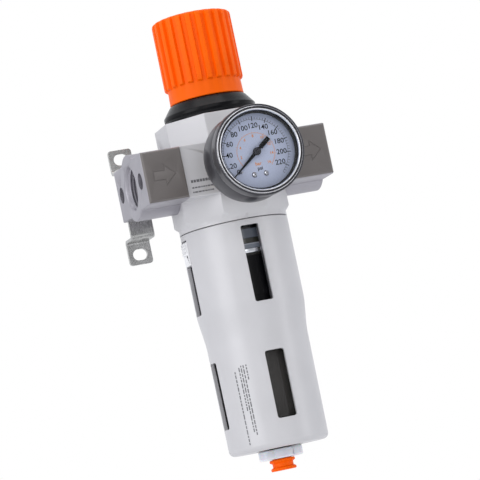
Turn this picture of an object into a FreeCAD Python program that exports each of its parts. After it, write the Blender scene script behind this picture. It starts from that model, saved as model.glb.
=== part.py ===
"""Filter and pressure regulator for compressed air, with gauge, bowl and wall bracket.

Every size is a cell of the sheet below.  Each piece is drawn about the regulator's own upright
axis, with the port axis at height 0, and its Placement then moves it to the row's frame, whose
origin is the mouth of the inlet port: +X runs to the outlet, +Y to the wall and +Z up.
Gauge pieces are drawn with their height along the gauge's axis and stood facing the front.
"""
import FreeCAD, Part
import math
import os
import re
import Sketcher

SIZES = {
    # general
    "half_width": 58, "full_turn": 360, "slip": 0.02, "octagon_half_angle": 22.5,
    # valve body
    "body_flats": 66, "body_half": 33, "bar_depth": 34.2, "bar_rise": 15.7, "body_edge": 0.6,
    "neck_radius": 24.8, "neck_top": 38, "rim_height": 3, "rim_flare": 7,
    "chamber_radius": 21, "chamber_floor": 6, "clamp_radius": 22.6, "clamp_ledge": 31,
    "mouth_radius": 26.4, "mouth_top": -20, "recess_radius": 30.5, "recess_top": -31.2,
    "annulus_radius": 24, "annulus_top": -11, "tube_outer": 14.5, "tube_bore": 11, "tube_end": -22,
    "web_bottom": 1, "seat_hole": 6.5,
    "lug_groove_radius": 29.6, "lug_groove_low": -28.4, "lug_groove_high": -24,
    "entry_width": 13, "passage_radius": 11.5, "passage_depth": 8.5,
    "elbow_width": 16, "elbow_near": 18, "elbow_far": 31, "elbow_reach": 20,
    "gauge_level": -1, "tapping_radius": 6.6, "tapping_end": 17, "bleed_radius": 1.6, "bleed_place": 19,
    # port blocks, their screws, seals and panels
    "block_length": 25, "boss_radius": 20.2, "port_radius": 13.22, "port_depth": 16,
    "port_chamfer": 14, "port_chamfer_depth": 0.8, "bolt_offset": 24.4, "bolt_well": 5,
    "bolt_well_depth": 17, "bolt_radius": 2.5, "bolt_clearance": 2.75, "bolt_reach": 10,
    "bolt_head": 4.25, "bolt_head_height": 5, "bolt_key": 2.3, "bolt_key_depth": 2.6,
    "seal_mean": 14.6, "seal_wire": 1.2, "seal_groove_in": 13.3, "seal_groove_out": 15.9,
    "seal_groove_depth": 2.45, "block_edge": 0.8,
    "panel_length": 24.4, "panel_rise": 15.2, "panel_thickness": 2, "panel_bevel": 0.9,
    "arrow_tip": 7.2, "arrow_wing": 6.6, "arrow_tail": 7, "arrow_shaft": 3, "arrow_line": 0.55,
    "arrow_depth": 0.3, "arrow_point_share": 1.5, "arrow_wing_share": 2.4,
    # wall bracket
    "bracket_centre": -4.5, "bracket_place": -47.5, "bracket_width": 15, "bracket_sheet": 2,
    "bracket_reach": 17.8, "bracket_waist": 22.5, "bracket_tip": 36.4, "bracket_bend": 3,
    "bracket_hole_place": 30.2, "bracket_hole_length": 9, "bracket_hole_height": 7,
    "bracket_corner": 2, "bracket_screw_place": 11, "bracket_screw_radius": 2,
    "bracket_screw_reach": 9, "bracket_screw_head": 4, "bracket_screw_rise": 2.4,
    "bracket_screw_play": 0.15, "bracket_inner_bend": 1.2,
    # bonnet, clamp ring, knob and adjusting screw
    "bonnet_flange": 22.3, "bonnet_foot": 32.55, "bonnet_shoulder": 40.1, "bonnet_tube": 18.4,
    "bonnet_bore": 16, "bonnet_roof": 84.8, "bonnet_top": 88, "bonnet_hole": 5.1,
    "key_depth": 1.2, "key_width": 3, "key_low": 42, "key_high": 84,
    "ring_radius": 28.2, "ring_shoulder": 39.2, "ring_top": 45, "ring_top_radius": 23.2,
    "ring_foot": 33.2, "ring_bore": 18.8, "ring_thread": 25, "ring_groove": 0.5,
    "ring_line": 1.8,
    "knob_root": 22.45, "knob_ribs": 24.3, "knob_foot": 45.4, "knob_top": 97.5, "knob_crown": 1,
    "knob_bore": 18.9, "knob_roof": 92, "knob_boss": 10.5, "knob_boss_foot": 88.4,
    "knob_socket_top": 95.4, "rib_foot": 54.8, "rib_top": 96.4, "rib_width": 3.8, "rib_count": 24,
    "rib_chamfer": 0.7, "rib_end_chamfer": 1.54, "knob_phase": -5.6,
    "screw_radius": 5, "screw_end": 47, "screw_collar": 8, "collar_low": 81.6, "collar_high": 83.6,
    "screw_neck": 0.3, "screw_head_top": 94.4, "screw_hex": 7.5, "socket_hex": 7.7,
    "washer_low": 83.65, "washer_high": 84.75, "washer_bore": 5.2,
    "nut_low": 70, "nut_seat": 74, "nut_top": 80, "nut_radius": 15.6, "nut_hub": 9,
    "nut_bore": 5.06, "nut_notch": 3.6, "nut_notch_play": 0.4,
    # diaphragm and its plates, main spring
    "diaphragm_radius": 22.3, "diaphragm_top": 32.5, "diaphragm_hole": 3.05, "roll_rise": 1.2,
    "roll_inner": 17.4, "roll_outer": 20.6, "roll_slope": 0.7, "roll_skin": 0.2, "roll_upper": 1.2,
    "plate_radius": 15.2, "plate_top": 34.6, "plate_rim": 36, "plate_wall": 0.8,
    "lower_plate_radius": 17, "lower_plate_foot": 28.8, "plate_hub": 3, "plate_hub_top": 35.8,
    "vent_radius": 1.3, "spring_mean": 12.2, "spring_wire": 1.9, "spring_turns": 6,
    "spring_play": 0.05,
    # valve
    "seat_bore": 4.6, "seat_nose": -0.5, "seat_chamfer": 0.6, "seat_lip": 7.6, "seat_top": 7,
    "stem_radius": 1.9, "stem_top": 28.75, "stem_foot": -5,
    "poppet_radius": 8, "poppet_top": -2.25, "poppet_rim": -6, "poppet_hub": 4.5, "poppet_end": -9,
    "pad_radius": 7.6, "pad_top": -0.55, "valve_spring_mean": 6.2, "valve_spring_wire": 0.5,
    "valve_spring_turns": 4,
    "guide_top": -12, "guide_web_top": -17, "guide_web": 2, "guide_wall": 8.5, "guide_boss": 4.8,
    "guide_boss_end": -26, "guide_thread": 3, "guide_air": 1.3, "guide_air_place": 6.6,
    "guide_air_count": 8,
    # filter
    "deflector_bore": 11.3, "deflector_top": -22.1, "deflector_radius": 20, "deflector_rim": -26,
    "deflector_foot": -29.5, "deflector_wall": 1.2, "vane_count": 14, "vane_width": 2,
    "vane_length": 5, "vane_lean": 35, "vane_floor": 1.5,
    "filter_bore": 11.5, "filter_radius": 17, "filter_top": -27.3, "filter_foot": -64,
    "baffle_radius": 18.6, "baffle_lip": -61, "baffle_foot": -68, "baffle_tip": -80, "stud_radius": 2.95,
    "stud_top": -21, "baffle_wall": 1.4,
    # bowl
    "bowl_radius": 23.6, "bowl_bore": 21, "bowl_top": -13, "bowl_flange": 26, "bowl_flange_top": -21,
    "bowl_flange_foot": -24, "bowl_foot": -165.5, "bowl_floor": -162.5, "bowl_round": 15,
    "bowl_round_in": 12.4, "bowl_boss": 7, "bowl_boss_end": -172.5, "drain_bore": 3.2,
    "o_groove_low": -18.4, "o_groove_high": -15.2, "o_groove_floor": 21.9, "o_mean": 22.9,
    "o_wire": 0.95, "o_level": -16.8,
    "band_radius": 25.3, "band_low": -53, "band_high": -50.4, "band_bore": 23.65,
    "liner_radius": 26, "liner_top": -54.6, "liner_foot": -86, "liner_band_high": -74.5,
    "liner_band_low": -78.5, "liner_step": 0.7,
    "guard_radius": 33, "guard_top": -33.4, "guard_disc": 3, "guard_wall": 2.4, "spigot_outer": 26.1,
    "spigot_inner": 24, "guard_knee": -84, "guard_waist": -102, "guard_low_radius": 30.8,
    "guard_foot_radius": 30.4, "guard_foot": -169.5, "guard_floor": 2.6, "guard_hole": 14.4,
    "guard_bend": 30, "guard_corner": 3.5, "lug_radius": 28.6, "lug_width": 12, "lug_low": -28,
    "lug_high": -24.4, "lug_turn": 45, "lug_count": 4,
    "slot_width": 11.3, "slot_height": 46, "slot_centre": -60, "slot_corner": 1.4,
    "window_width": 12, "window_height": 40.5, "window_centre": -132.8, "window_corner": 1.5,
    "window_count": 4, "rib_depth": 4.4, "rib_wall": 1.5, "rib_bite": 0.6, "rib_spare": 1.2, "catch_notch": 6,
    "catch_inner": 27, "catch_outer": 33.9, "catch_width": 10.9, "catch_top": -37.9,
    "catch_foot": -52.4, "catch_tooth_out": 30, "catch_tooth_top": -31.6, "catch_tooth_width": 5,
    "catch_thumb_low": -46, "catch_thumb_drop": 0.6, "catch_line_low": 1.4, "catch_line_step": 2.2,
    "catch_line_width": 0.9, "catch_notch_play": 0.4,
    "shelf_top": -64, "shelf_height": 2, "shelf_width": 14, "shelf_bite": 0.3,
    "catch_spring_mean": 1.5, "catch_spring_wire": 0.25, "catch_spring_turns": 8,
    # drain
    "collar_top": -169.9, "collar_foot": -175.8, "collar_bore": 7.1, "collar_lobe": 6.6,
    "collar_lobe_place": 7, "collar_round": 1.2, "collar_wall": 1.6,
    "drain_top": -176.2, "drain_foot": -183, "drain_flange": 7.7, "drain_waist": 6.3,
    "drain_flange_height": 1.9, "drain_neck": 5.8, "drain_neck_top": -172.9, "drain_outlet": 1.5,
    "flute_count": 20, "flute_radius": 0.5, "flute_offset": 0.1, "drain_edge": 0.4, "drain_slope": 0.5,
    "stem_play": 0.3,
    "drain_stem_radius": 2.9, "drain_stem_foot": -180, "drain_knob_bore": 2.96, "drain_head": 5.4,
    "drain_head_top": -158.6, "drain_head_foot": -160.5, "drain_seal_mean": 4.2,
    "drain_seal_wire": 0.9,
    # gauge, heights along its own axis from the regulator's axis
    "socket_end": 24, "socket_thread": 6.5, "socket_collar": 8, "socket_collar_low": 37.4,
    "socket_square_low": 39, "socket_square": 14, "socket_square_high": 51.9,
    "socket_post_width": 10, "socket_post_drop": 21, "socket_post_low": 53.6,
    "thread_chamfer": 0.8, "case_hole_play": 0.1,
    "washer_outer": 9, "washer_face": 34.25,
    "case_back": 52, "case_radius": 25.8, "case_front": 79.4, "case_wall": 1.2, "case_hole": 7.1,
    "case_round": 4,
    "bezel_radius": 26.9, "bezel_back": 75.5, "bezel_rim": 82.4, "bezel_lip": 84, "bezel_front": 84.5,
    "bezel_opening": 23.2, "bezel_inner": 25.95, "bezel_step": 82.9, "bezel_crown": 24.4,
    "bezel_edge": 0.4, "bezel_roll": 0.6,
    "glass_radius": 25.7, "glass_back": 81, "glass_front": 82.8,
    "gasket_inner": 22.9, "gasket_outer": 25.4, "gasket_back": 79.5, "gasket_front": 80.95,
    "dial_radius": 24.3, "dial_back": 74, "dial_front": 74.6, "dial_hole": 1.2,
    "dial_screw_place": 3.6, "dial_screw_drop": 13, "dial_screw_head": 1.6, "dial_screw_shank": 0.85,
    "dial_screw_end": 70.1, "dial_screw_clearance": 0.95, "dial_screw_dome": 1,
    "dial_screw_brim": 0.4, "dial_screw_crown": 0.7, "dial_screw_shoulder": 0.85,
    "pin_radius": 0.5, "pin_place": 15.6, "pin_top": 77.6, "pin_lead": 5,
    "pointer_back": 76.1, "pointer_front": 76.6, "pointer_length": 21, "pointer_root": 1.1,
    "pointer_tip": 0.25, "pointer_tail": 11.2, "pointer_tail_width": 2.7, "pointer_hub": 2.25,
    "pointer_hub_front": 77.9, "pointer_bore": 0.62, "pointer_rest": 218.5,
    "pointer_tail_start": 3.7, "pointer_neck": 0.77,
    "arbor_back": 62.2, "arbor_front": 77.6, "arbor_radius": 0.6, "gear_back": 66, "gear_front": 67.2,
    "pinion_pitch": 1.6, "pinion_teeth": 16, "sector_pitch": 9.4, "sector_teeth": 94,
    "sector_first": 38, "sector_last": 96, "sector_hub": 1.8, "sector_pivot": 0.8,
    "tooth_high": 0.16, "tooth_deep": 0.26, "tooth_share": 0.42, "tooth_root_share": 1.35,
    "tooth_tip_share": 0.55, "sector_rim": 1.4, "sector_arm": 0.8, "sector_bite": 0.4,
    "pivot_reach": 1.5,
    "frame_back": 62, "frame_front": 70, "frame_plate": 1, "frame_half": 8.5, "frame_low": -16,
    "frame_high": 6, "frame_post": 1.5, "frame_hole": 0.9, "arbor_hole": 0.7,
    "tube_mean": 18.6, "tube_half_thick": 1, "tube_half_deep": 3.6, "tube_level": 60.5,
    "tube_sweep": 250, "tube_start": 270, "tube_round": 0.8,
    # rear plug
    "plug_radius": 9, "plug_face": 35.3, "plug_head": 3, "plug_end": 24.5, "plug_key": 4.1,
    "plug_key_depth": 5, "plug_washer_face": 34.25, "plug_edge": 0.8,
}

doc = FreeCAD.newDocument("FilterRegulator")
sheet = doc.addObject("Spreadsheet::Sheet", "Sizes")
for row, (size_name, size_value) in enumerate(SIZES.items(), start=1):
    sheet.set(f"A{row}", size_name)
    sheet.set(f"B{row}", str(size_value))
    sheet.setAlias(f"B{row}", size_name)
doc.recompute()

X_WAY = FreeCAD.Vector(1, 0, 0)
Z_WAY = FreeCAD.Vector(0, 0, 1)
UPRIGHT = FreeCAD.Rotation()
FACING_FRONT = FreeCAD.Rotation(X_WAY, 90)
FACING_BACK = FreeCAD.Rotation(X_WAY, -90)
ALONG_X = FreeCAD.Rotation(FreeCAD.Vector(0, 1, 0), 90)
# where a sketch's points start before its dimensions move them
GUESS_PLACE = 30
GUESS_RADIUS = 10
SUB_PARTS = []


# ---------------------------------------------------------------- small helpers
def size(name):
    """A cell of the sheet as a plain number."""
    return float(sheet.get(name))


def formula(text):
    """Turn 'ring_bore + 2' into an expression that reads the sheet."""
    word = r"(?<![\w.])(?!(?:sin|cos|tan|sqrt)\b)[a-z][a-z_]+"
    return re.sub(word, lambda found: "Sizes." + found.group(0), text)


def bind(thing, **formulas):
    """Tie properties of a thing to the sheet."""
    for property_name, text in formulas.items():
        thing.setExpression(property_name, formula(text))


def put(thing, x="0", y="0", z="0", turn=UPRIGHT):
    """Place a helper solid, its position tied to the sheet."""
    thing.Placement = FreeCAD.Placement(FreeCAD.Vector(), turn)
    for letter, text in zip("xyz", (x, y, z)):
        thing.setExpression(f".Placement.Base.{letter}", formula(text))
    return thing


def finish(thing, node, turn=UPRIGHT, level="0"):
    """Name a finished piece and move it from its own axis to the row's frame."""
    thing.Label = node
    put(thing, "half_width", "0", level, turn)
    SUB_PARTS.append((node, thing))
    return thing


def face_front(thing, node, spin=0):
    """Finish a gauge piece: its height turns to the front, at the gauge's level."""
    turn = FACING_FRONT.multiply(FreeCAD.Rotation(Z_WAY, spin))
    return finish(thing, node, turn, "gauge_level")


# ---------------------------------------------------------------- sketches
def new_body(name):
    return doc.addObject("PartDesign::Body", name + "_body")


def new_sketch(body, role, offset="0"):
    """A sketch on one of the body's own origin planes, moved out along its normal."""
    sketch = body.newObject("Sketcher::SketchObject", "profile")
    plane = [item for item in body.Origin.OriginFeatures if item.Role == role][0]
    sketch.AttachmentSupport = (plane, [""])
    sketch.MapMode = "FlatFace"
    if offset != "0":
        sketch.setExpression(".AttachmentOffset.Base.z", formula(offset))
    return sketch


def hold(sketch, kind, reference, shape, point, value, text):
    """Dimension one point of a sketch from the origin, or set it on an axis."""
    if text == "0":
        sketch.addConstraint(Sketcher.Constraint("PointOnObject", shape, point, reference))
        return
    index = sketch.addConstraint(Sketcher.Constraint(kind, -1, 1, shape, point, value))
    sketch.setExpression(f"Constraints[{index}]", formula(text))


def outline(sketch, corners):
    """A closed outline of straight lines through corners given as formulas."""
    count = len(corners)
    first = sketch.GeometryCount
    start = []
    for index in range(count):
        angle = 2 * math.pi * index / count
        start.append(FreeCAD.Vector(GUESS_PLACE + GUESS_RADIUS * math.cos(angle),
                                    GUESS_RADIUS * math.sin(angle), 0))
    for index in range(count):
        line = Part.LineSegment(start[index], start[(index + 1) % count])
        sketch.addGeometry(line, False)
    for index in range(count):
        following = first + (index + 1) % count
        sketch.addConstraint(Sketcher.Constraint("Coincident", first + index, 2, following, 1))
    for index, (across, up) in enumerate(corners):
        hold(sketch, "DistanceX", -2, first + index, 1, start[index].x, across)
        hold(sketch, "DistanceY", -1, first + index, 1, start[index].y, up)
    return sketch


def circle(sketch, radius, across="0", up="0"):
    """A circle with its centre and radius given as formulas."""
    middle = FreeCAD.Vector(GUESS_PLACE, GUESS_PLACE, 0)
    index = sketch.addGeometry(Part.Circle(middle, Z_WAY, GUESS_RADIUS), False)
    hold(sketch, "DistanceX", -2, index, 3, GUESS_PLACE, across)
    hold(sketch, "DistanceY", -1, index, 3, GUESS_PLACE, up)
    limit = sketch.addConstraint(Sketcher.Constraint("Radius", index, 3))
    sketch.setExpression(f"Constraints[{limit}]", formula(radius))
    return sketch


def rounded_window(sketch, width, height, centre, corner):
    """A rounded rectangle about the sketch's upright axis; each size is one cell's name."""
    half_wide = size(width) / 2
    half_tall = size(height) / 2
    bend = size(corner)
    middle = size(centre)
    sides = []
    bends = []
    ways = [(1, 1), (-1, 1), (-1, -1), (1, -1)]
    for index, (right, up) in enumerate(ways):
        hub = FreeCAD.Vector(right * (half_wide - bend), middle + up * (half_tall - bend), 0)
        begin = math.pi / 2 * index
        arc = Part.ArcOfCircle(Part.Circle(hub, Z_WAY, bend), begin, begin + math.pi / 2)
        bends.append(sketch.addGeometry(arc, False))
    for index in range(4):
        here = sketch.Geometry[bends[index]].EndPoint
        there = sketch.Geometry[bends[(index + 1) % 4]].StartPoint
        sides.append(sketch.addGeometry(Part.LineSegment(here, there), False))
    for index in range(4):
        following = bends[(index + 1) % 4]
        sketch.addConstraint(Sketcher.Constraint("Tangent", bends[index], 2, sides[index], 1))
        sketch.addConstraint(Sketcher.Constraint("Tangent", sides[index], 2, following, 1))
    for other in bends[1:]:
        sketch.addConstraint(Sketcher.Constraint("Equal", bends[0], other))
    limit = sketch.addConstraint(Sketcher.Constraint("Radius", bends[0], bend))
    sketch.setExpression(f"Constraints[{limit}]", formula(corner))
    top, left, bottom, right_side = sides
    sketch.addConstraint(Sketcher.Constraint("Horizontal", top))
    sketch.addConstraint(Sketcher.Constraint("Vertical", left))
    sketch.addConstraint(Sketcher.Constraint("Horizontal", bottom))
    sketch.addConstraint(Sketcher.Constraint("Vertical", right_side))
    hold(sketch, "DistanceY", -1, top, 1, middle + half_tall, f"{centre} + {height} / 2")
    hold(sketch, "DistanceY", -1, bottom, 1, middle - half_tall, f"{centre} - {height} / 2")
    hold(sketch, "DistanceX", -2, left, 1, -half_wide, f"-{width} / 2")
    hold(sketch, "DistanceX", -2, right_side, 1, half_wide, f"{width} / 2")
    return sketch


# ---------------------------------------------------------------- features
def settle(body, change):
    """Recompute and make sure that a feature added or removed material as it should."""
    before = body.Shape.Volume if not body.Shape.isNull() else 0
    doc.recompute()
    grown = body.Shape.Volume - before
    if grown * change <= 0:
        raise ValueError(f"{body.Name}: the last feature changed the volume by {grown:.3f}")


def pad(body, sketch, length, both_ways=False, backwards=False):
    """Push a sketch out into material."""
    feature = body.newObject("PartDesign::Pad", "pad")
    feature.Profile = sketch
    feature.Midplane = both_ways
    feature.Reversed = backwards
    bind(feature, Length=length)
    settle(body, +1)
    return feature


def pocket(body, sketch, length, both_ways=False, backwards=False):
    """Cut a sketch into the material; not backwards means against the sketch's normal."""
    feature = body.newObject("PartDesign::Pocket", "pocket")
    feature.Profile = sketch
    feature.Midplane = both_ways
    feature.Reversed = backwards
    bind(feature, Length=length)
    settle(body, -1)
    return feature


def turned(body, corners, sweep="full_turn"):
    """Turn an outline of (radius, height) formulas about the upright axis."""
    feature = body.newObject("PartDesign::Revolution", "turning")
    sketch = outline(new_sketch(body, "XZ_Plane"), corners)
    feature.Profile = sketch
    feature.ReferenceAxis = (sketch, ["V_Axis"])
    bind(feature, Angle=sweep)
    settle(body, +1)
    return feature


def groove(body, corners):
    """Turn an outline of (radius, height) formulas away."""
    feature = body.newObject("PartDesign::Groove", "groove")
    sketch = outline(new_sketch(body, "XZ_Plane"), corners)
    feature.Profile = sketch
    feature.ReferenceAxis = (sketch, ["V_Axis"])
    bind(feature, Angle="full_turn")
    settle(body, -1)
    return feature


def around(body, features, count):
    """Repeat features evenly about the upright axis."""
    pattern = body.newObject("PartDesign::PolarPattern", "around")
    pattern.Originals = features
    axis = [item for item in body.Origin.OriginFeatures if item.Role == "Z_Axis"][0]
    pattern.Axis = (axis, [""])
    bind(pattern, Angle="full_turn", Occurrences=count)
    change = +1 if features[0].TypeId.endswith("Pad") else -1
    body.Tip = pattern
    settle(body, change)
    return pattern


def ring_edges(body, radius, height):
    """Names of the round edges of a radius at a height above the port axis."""
    names = []
    for number, edge in enumerate(body.Tip.Shape.Edges, start=1):
        curve = edge.Curve
        if curve.TypeId != "Part::GeomCircle":
            continue
        if abs(curve.Radius - radius) < 1e-3 and abs(curve.Center.z - height) < 1e-3:
            names.append(f"Edge{number}")
    return names


def edges_along(body, way, test):
    """Names of the straight edges along a way whose middle passes a test."""
    names = []
    for number, edge in enumerate(body.Tip.Shape.Edges, start=1):
        if edge.Curve.TypeId != "Part::GeomLine":
            continue
        if abs(abs(edge.Curve.Direction.dot(way)) - 1) > 1e-6:
            continue
        if test(edge.CenterOfMass):
            names.append(f"Edge{number}")
    return names


def rounded(body, names, radius, kind="Fillet"):
    """Round or chamfer named edges of the body."""
    if not names:
        raise ValueError(f"{body.Name}: no edge to round")
    base = body.Tip
    feature = body.newObject("PartDesign::" + kind, "edge")
    feature.Base = (base, names)
    body.Tip = feature
    if kind == "Fillet":
        bind(feature, Radius=radius)
    else:
        bind(feature, Size=radius)
    doc.recompute()
    return feature


def lathe_piece(node, corners):
    """A whole piece from one turned outline."""
    body = new_body(node)
    turned(body, corners)
    return body


# ---------------------------------------------------------------- plain solids and booleans
def rod(radius, length, x="0", y="0", z="0", turn=UPRIGHT):
    """A cylinder that starts at a point and runs along its turned Z."""
    thing = doc.addObject("Part::Cylinder", "rod")
    bind(thing, Radius=radius, Height=length)
    return put(thing, x, y, z, turn)


def cone(foot, top, length, x="0", y="0", z="0", turn=UPRIGHT):
    thing = doc.addObject("Part::Cone", "cone")
    bind(thing, Radius1=foot, Radius2=top, Height=length)
    return put(thing, x, y, z, turn)


def box(length, width, height, x="0", y="0", z="0", turn=UPRIGHT):
    thing = doc.addObject("Part::Box", "box")
    bind(thing, Length=length, Width=width, Height=height)
    return put(thing, x, y, z, turn)


def ring(mean, wire, x="0", y="0", z="0", turn=UPRIGHT):
    thing = doc.addObject("Part::Torus", "ring")
    bind(thing, Radius1=mean, Radius2=wire)
    return put(thing, x, y, z, turn)


def hexagon(sketch, corner_radius):
    """A regular hexagon about the sketch's origin."""
    corners = []
    for angle in range(0, 360, 60):
        corners.append((f"{corner_radius} * cos({angle})", f"{corner_radius} * sin({angle})"))
    corners[0] = (corner_radius, "0")
    corners[3] = (f"-{corner_radius}", "0")
    return outline(sketch, corners)


def joined(things):
    """One shape from several: fused where they touch, a group of solids where they don't."""
    union = doc.addObject("Part::MultiFuse", "joined")
    union.Shapes = things
    return union


def cut(base, tools):
    """A base solid less its tools."""
    result = doc.addObject("Part::Cut", "cut")
    result.Base = base
    result.Tool = tools[0] if len(tools) == 1 else joined(tools)
    return result


def made(name, shape):
    """A shape made directly, for what sketches and primitives can't give."""
    thing = doc.addObject("Part::Feature", name + "_shape")
    thing.Shape = shape
    return thing


def coil(name, mean, wire, low, high, turns):
    """A round-wire compression spring between two heights."""
    rise = high - low - 2 * wire
    helix = Part.makeHelix(rise / turns, rise, mean)
    helix.translate(FreeCAD.Vector(0, 0, low + wire))
    start = FreeCAD.Vector(mean, 0, low + wire)
    section = Part.Wire([Part.makeCircle(wire, start, FreeCAD.Vector(0, 1, 0))])
    spring = Part.Wire(helix.Edges).makePipeShell([section], True, True)
    return made(name, spring)


# ---------------------------------------------------------------- valve body
def make_valve_body():
    body = new_body("valve_body")
    flats = "body_flats / 2"
    corner = "body_flats / 2 * tan(octagon_half_angle)"
    octagon = [(flats, f"-{corner}"), (flats, corner), (corner, flats), (f"-{corner}", flats),
               (f"-{flats}", corner), (f"-{flats}", f"-{corner}"), (f"-{corner}", f"-{flats}"),
               (corner, f"-{flats}")]
    bar = [(flats, "-bar_depth"), (flats, "bar_depth"), (f"-{flats}", "bar_depth"),
           (f"-{flats}", "-bar_depth")]
    pad(body, outline(new_sketch(body, "XY_Plane"), bar), "bar_rise * 2", both_ways=True)
    front = size("bar_depth")
    rounded(body, edges_along(body, X_WAY, lambda middle: abs(abs(middle.y) - front) < 0.01),
            "body_edge")
    pad(body, outline(new_sketch(body, "XY_Plane"), octagon), "body_half * 2", both_ways=True)
    turned(body, [("0", "body_half - 1"), ("neck_radius", "body_half - 1"),
                  ("neck_radius", "neck_top"), ("0", "neck_top")])
    rim = "-body_half + rim_height"
    groove(body, [(flats, "-body_half - 1"), (f"{flats} + rim_flare", "-body_half - 1"),
                  (f"{flats} + rim_flare", f"{rim} + rim_flare"), (flats, rim)])
    groove(body, [("0", "chamber_floor"), ("chamber_radius", "chamber_floor"),
                  ("chamber_radius", "clamp_ledge"), ("clamp_radius", "clamp_ledge"),
                  ("clamp_radius", "neck_top + 1"), ("0", "neck_top + 1")])
    groove(body, [("0", "-body_half - 1"), ("recess_radius", "-body_half - 1"),
                  ("recess_radius", "recess_top"), ("mouth_radius", "recess_top"),
                  ("mouth_radius", "mouth_top"), ("annulus_radius", "mouth_top"),
                  ("annulus_radius", "annulus_top"), ("tube_outer", "annulus_top"),
                  ("tube_outer", "tube_end"), ("tube_bore", "tube_end"),
                  ("tube_bore", "web_bottom"), ("seat_hole", "web_bottom"),
                  ("seat_hole", "chamber_floor + 1"), ("0", "chamber_floor + 1")])
    groove(body, [("mouth_radius - 1", "lug_groove_low"), ("lug_groove_radius", "lug_groove_low"),
                  ("lug_groove_radius", "lug_groove_high"), ("mouth_radius - 1", "lug_groove_high")])
    entry = [("tube_outer + 1", "-entry_width / 2"), ("lug_groove_radius", "-entry_width / 2"),
             ("lug_groove_radius", "entry_width / 2"), ("tube_outer + 1", "entry_width / 2")]
    slot = pocket(body, outline(new_sketch(body, "XY_Plane", "lug_groove_low"), entry),
                  "body_half", backwards=False)
    around(body, [slot], "4")
    gallery = "body_flats / 2 - passage_depth"
    tools = [
        rod("passage_radius", "passage_depth + 1", gallery, turn=ALONG_X),
        rod("passage_radius", "passage_depth + 1", "-body_flats / 2 - 1", turn=ALONG_X),
        box("elbow_far - elbow_near", "elbow_width", "elbow_reach", "elbow_near", "-elbow_width / 2"),
        box("elbow_far - elbow_near", "elbow_width", "elbow_reach - 1", "-elbow_far",
            "-elbow_width / 2", "1 - elbow_reach"),
        rod("tapping_radius", "bar_depth", "0", "-tapping_end", "gauge_level", FACING_FRONT),
        rod("tapping_radius", "bar_depth", "0", "tapping_end", "gauge_level", FACING_BACK),
        rod("bleed_radius", "chamber_floor + 2", "0", "-bleed_place", "gauge_level"),
        rod("bleed_radius", "chamber_floor + 2", "0", "bleed_place", "gauge_level"),
    ]
    for side in ("-bolt_offset", "bolt_offset"):
        tools.append(rod("bolt_radius", "bolt_reach + 2", "body_flats / 2 - bolt_reach - 1", side,
                         turn=ALONG_X))
        tools.append(rod("bolt_radius", "bolt_reach + 2", "-body_flats / 2 - 1", side,
                         turn=ALONG_X))
    finish(cut(body, tools), "valve_body")


# ---------------------------------------------------------------- ports
def make_port_block(node, way, half_turn):
    """A port block; way is the sign of its side and half_turn stands its mouth outwards."""
    body = new_body(node)
    near = "body_flats / 2"
    face = [("-bar_depth", "-bar_rise"), ("bar_depth", "-bar_rise"), ("bar_depth", "bar_rise"),
            ("-bar_depth", "bar_rise")]
    pad(body, outline(new_sketch(body, "YZ_Plane", near), face), "block_length")
    front = size("bar_depth")
    rounded(body, edges_along(body, X_WAY, lambda middle: abs(abs(middle.y) - front) < 0.01),
            "block_edge")
    pad(body, circle(new_sketch(body, "YZ_Plane", near), "boss_radius"), "block_length")
    mouth = f"{near} + block_length"
    names = []
    edge_place = size("body_flats") / 2 + size("block_length")
    for number, edge in enumerate(body.Tip.Shape.Edges, start=1):
        if abs(edge.CenterOfMass.x - edge_place) < 1e-3:
            names.append(f"Edge{number}")
    rounded(body, names, "body_edge")
    pocket(body, circle(new_sketch(body, "YZ_Plane", mouth), "passage_radius"), "block_length + 1")
    pocket(body, circle(new_sketch(body, "YZ_Plane", mouth), "port_radius"), "port_depth")
    for side in ("-bolt_offset", "bolt_offset"):
        pocket(body, circle(new_sketch(body, "YZ_Plane", mouth), "bolt_clearance", side),
               "block_length + 1")
        pocket(body, circle(new_sketch(body, "YZ_Plane", mouth), "bolt_well", side),
               "bolt_well_depth")
    seal_seat = circle(new_sketch(body, "YZ_Plane", near), "seal_groove_out")
    circle(seal_seat, "seal_groove_in")
    pocket(body, seal_seat, "seal_groove_depth", backwards=True)
    tools = [cone("port_radius", "port_chamfer", "port_chamfer_depth",
                  f"{mouth} - port_chamfer_depth", turn=ALONG_X)]
    if way < 0:
        for rise in ("-bracket_screw_place", "bracket_screw_place"):
            tools.append(rod("bracket_screw_radius", "bracket_screw_reach + 2", "-bracket_place",
                             "-bar_depth - 1", rise, FACING_BACK))
    finish(cut(body, tools), node, half_turn)


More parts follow.
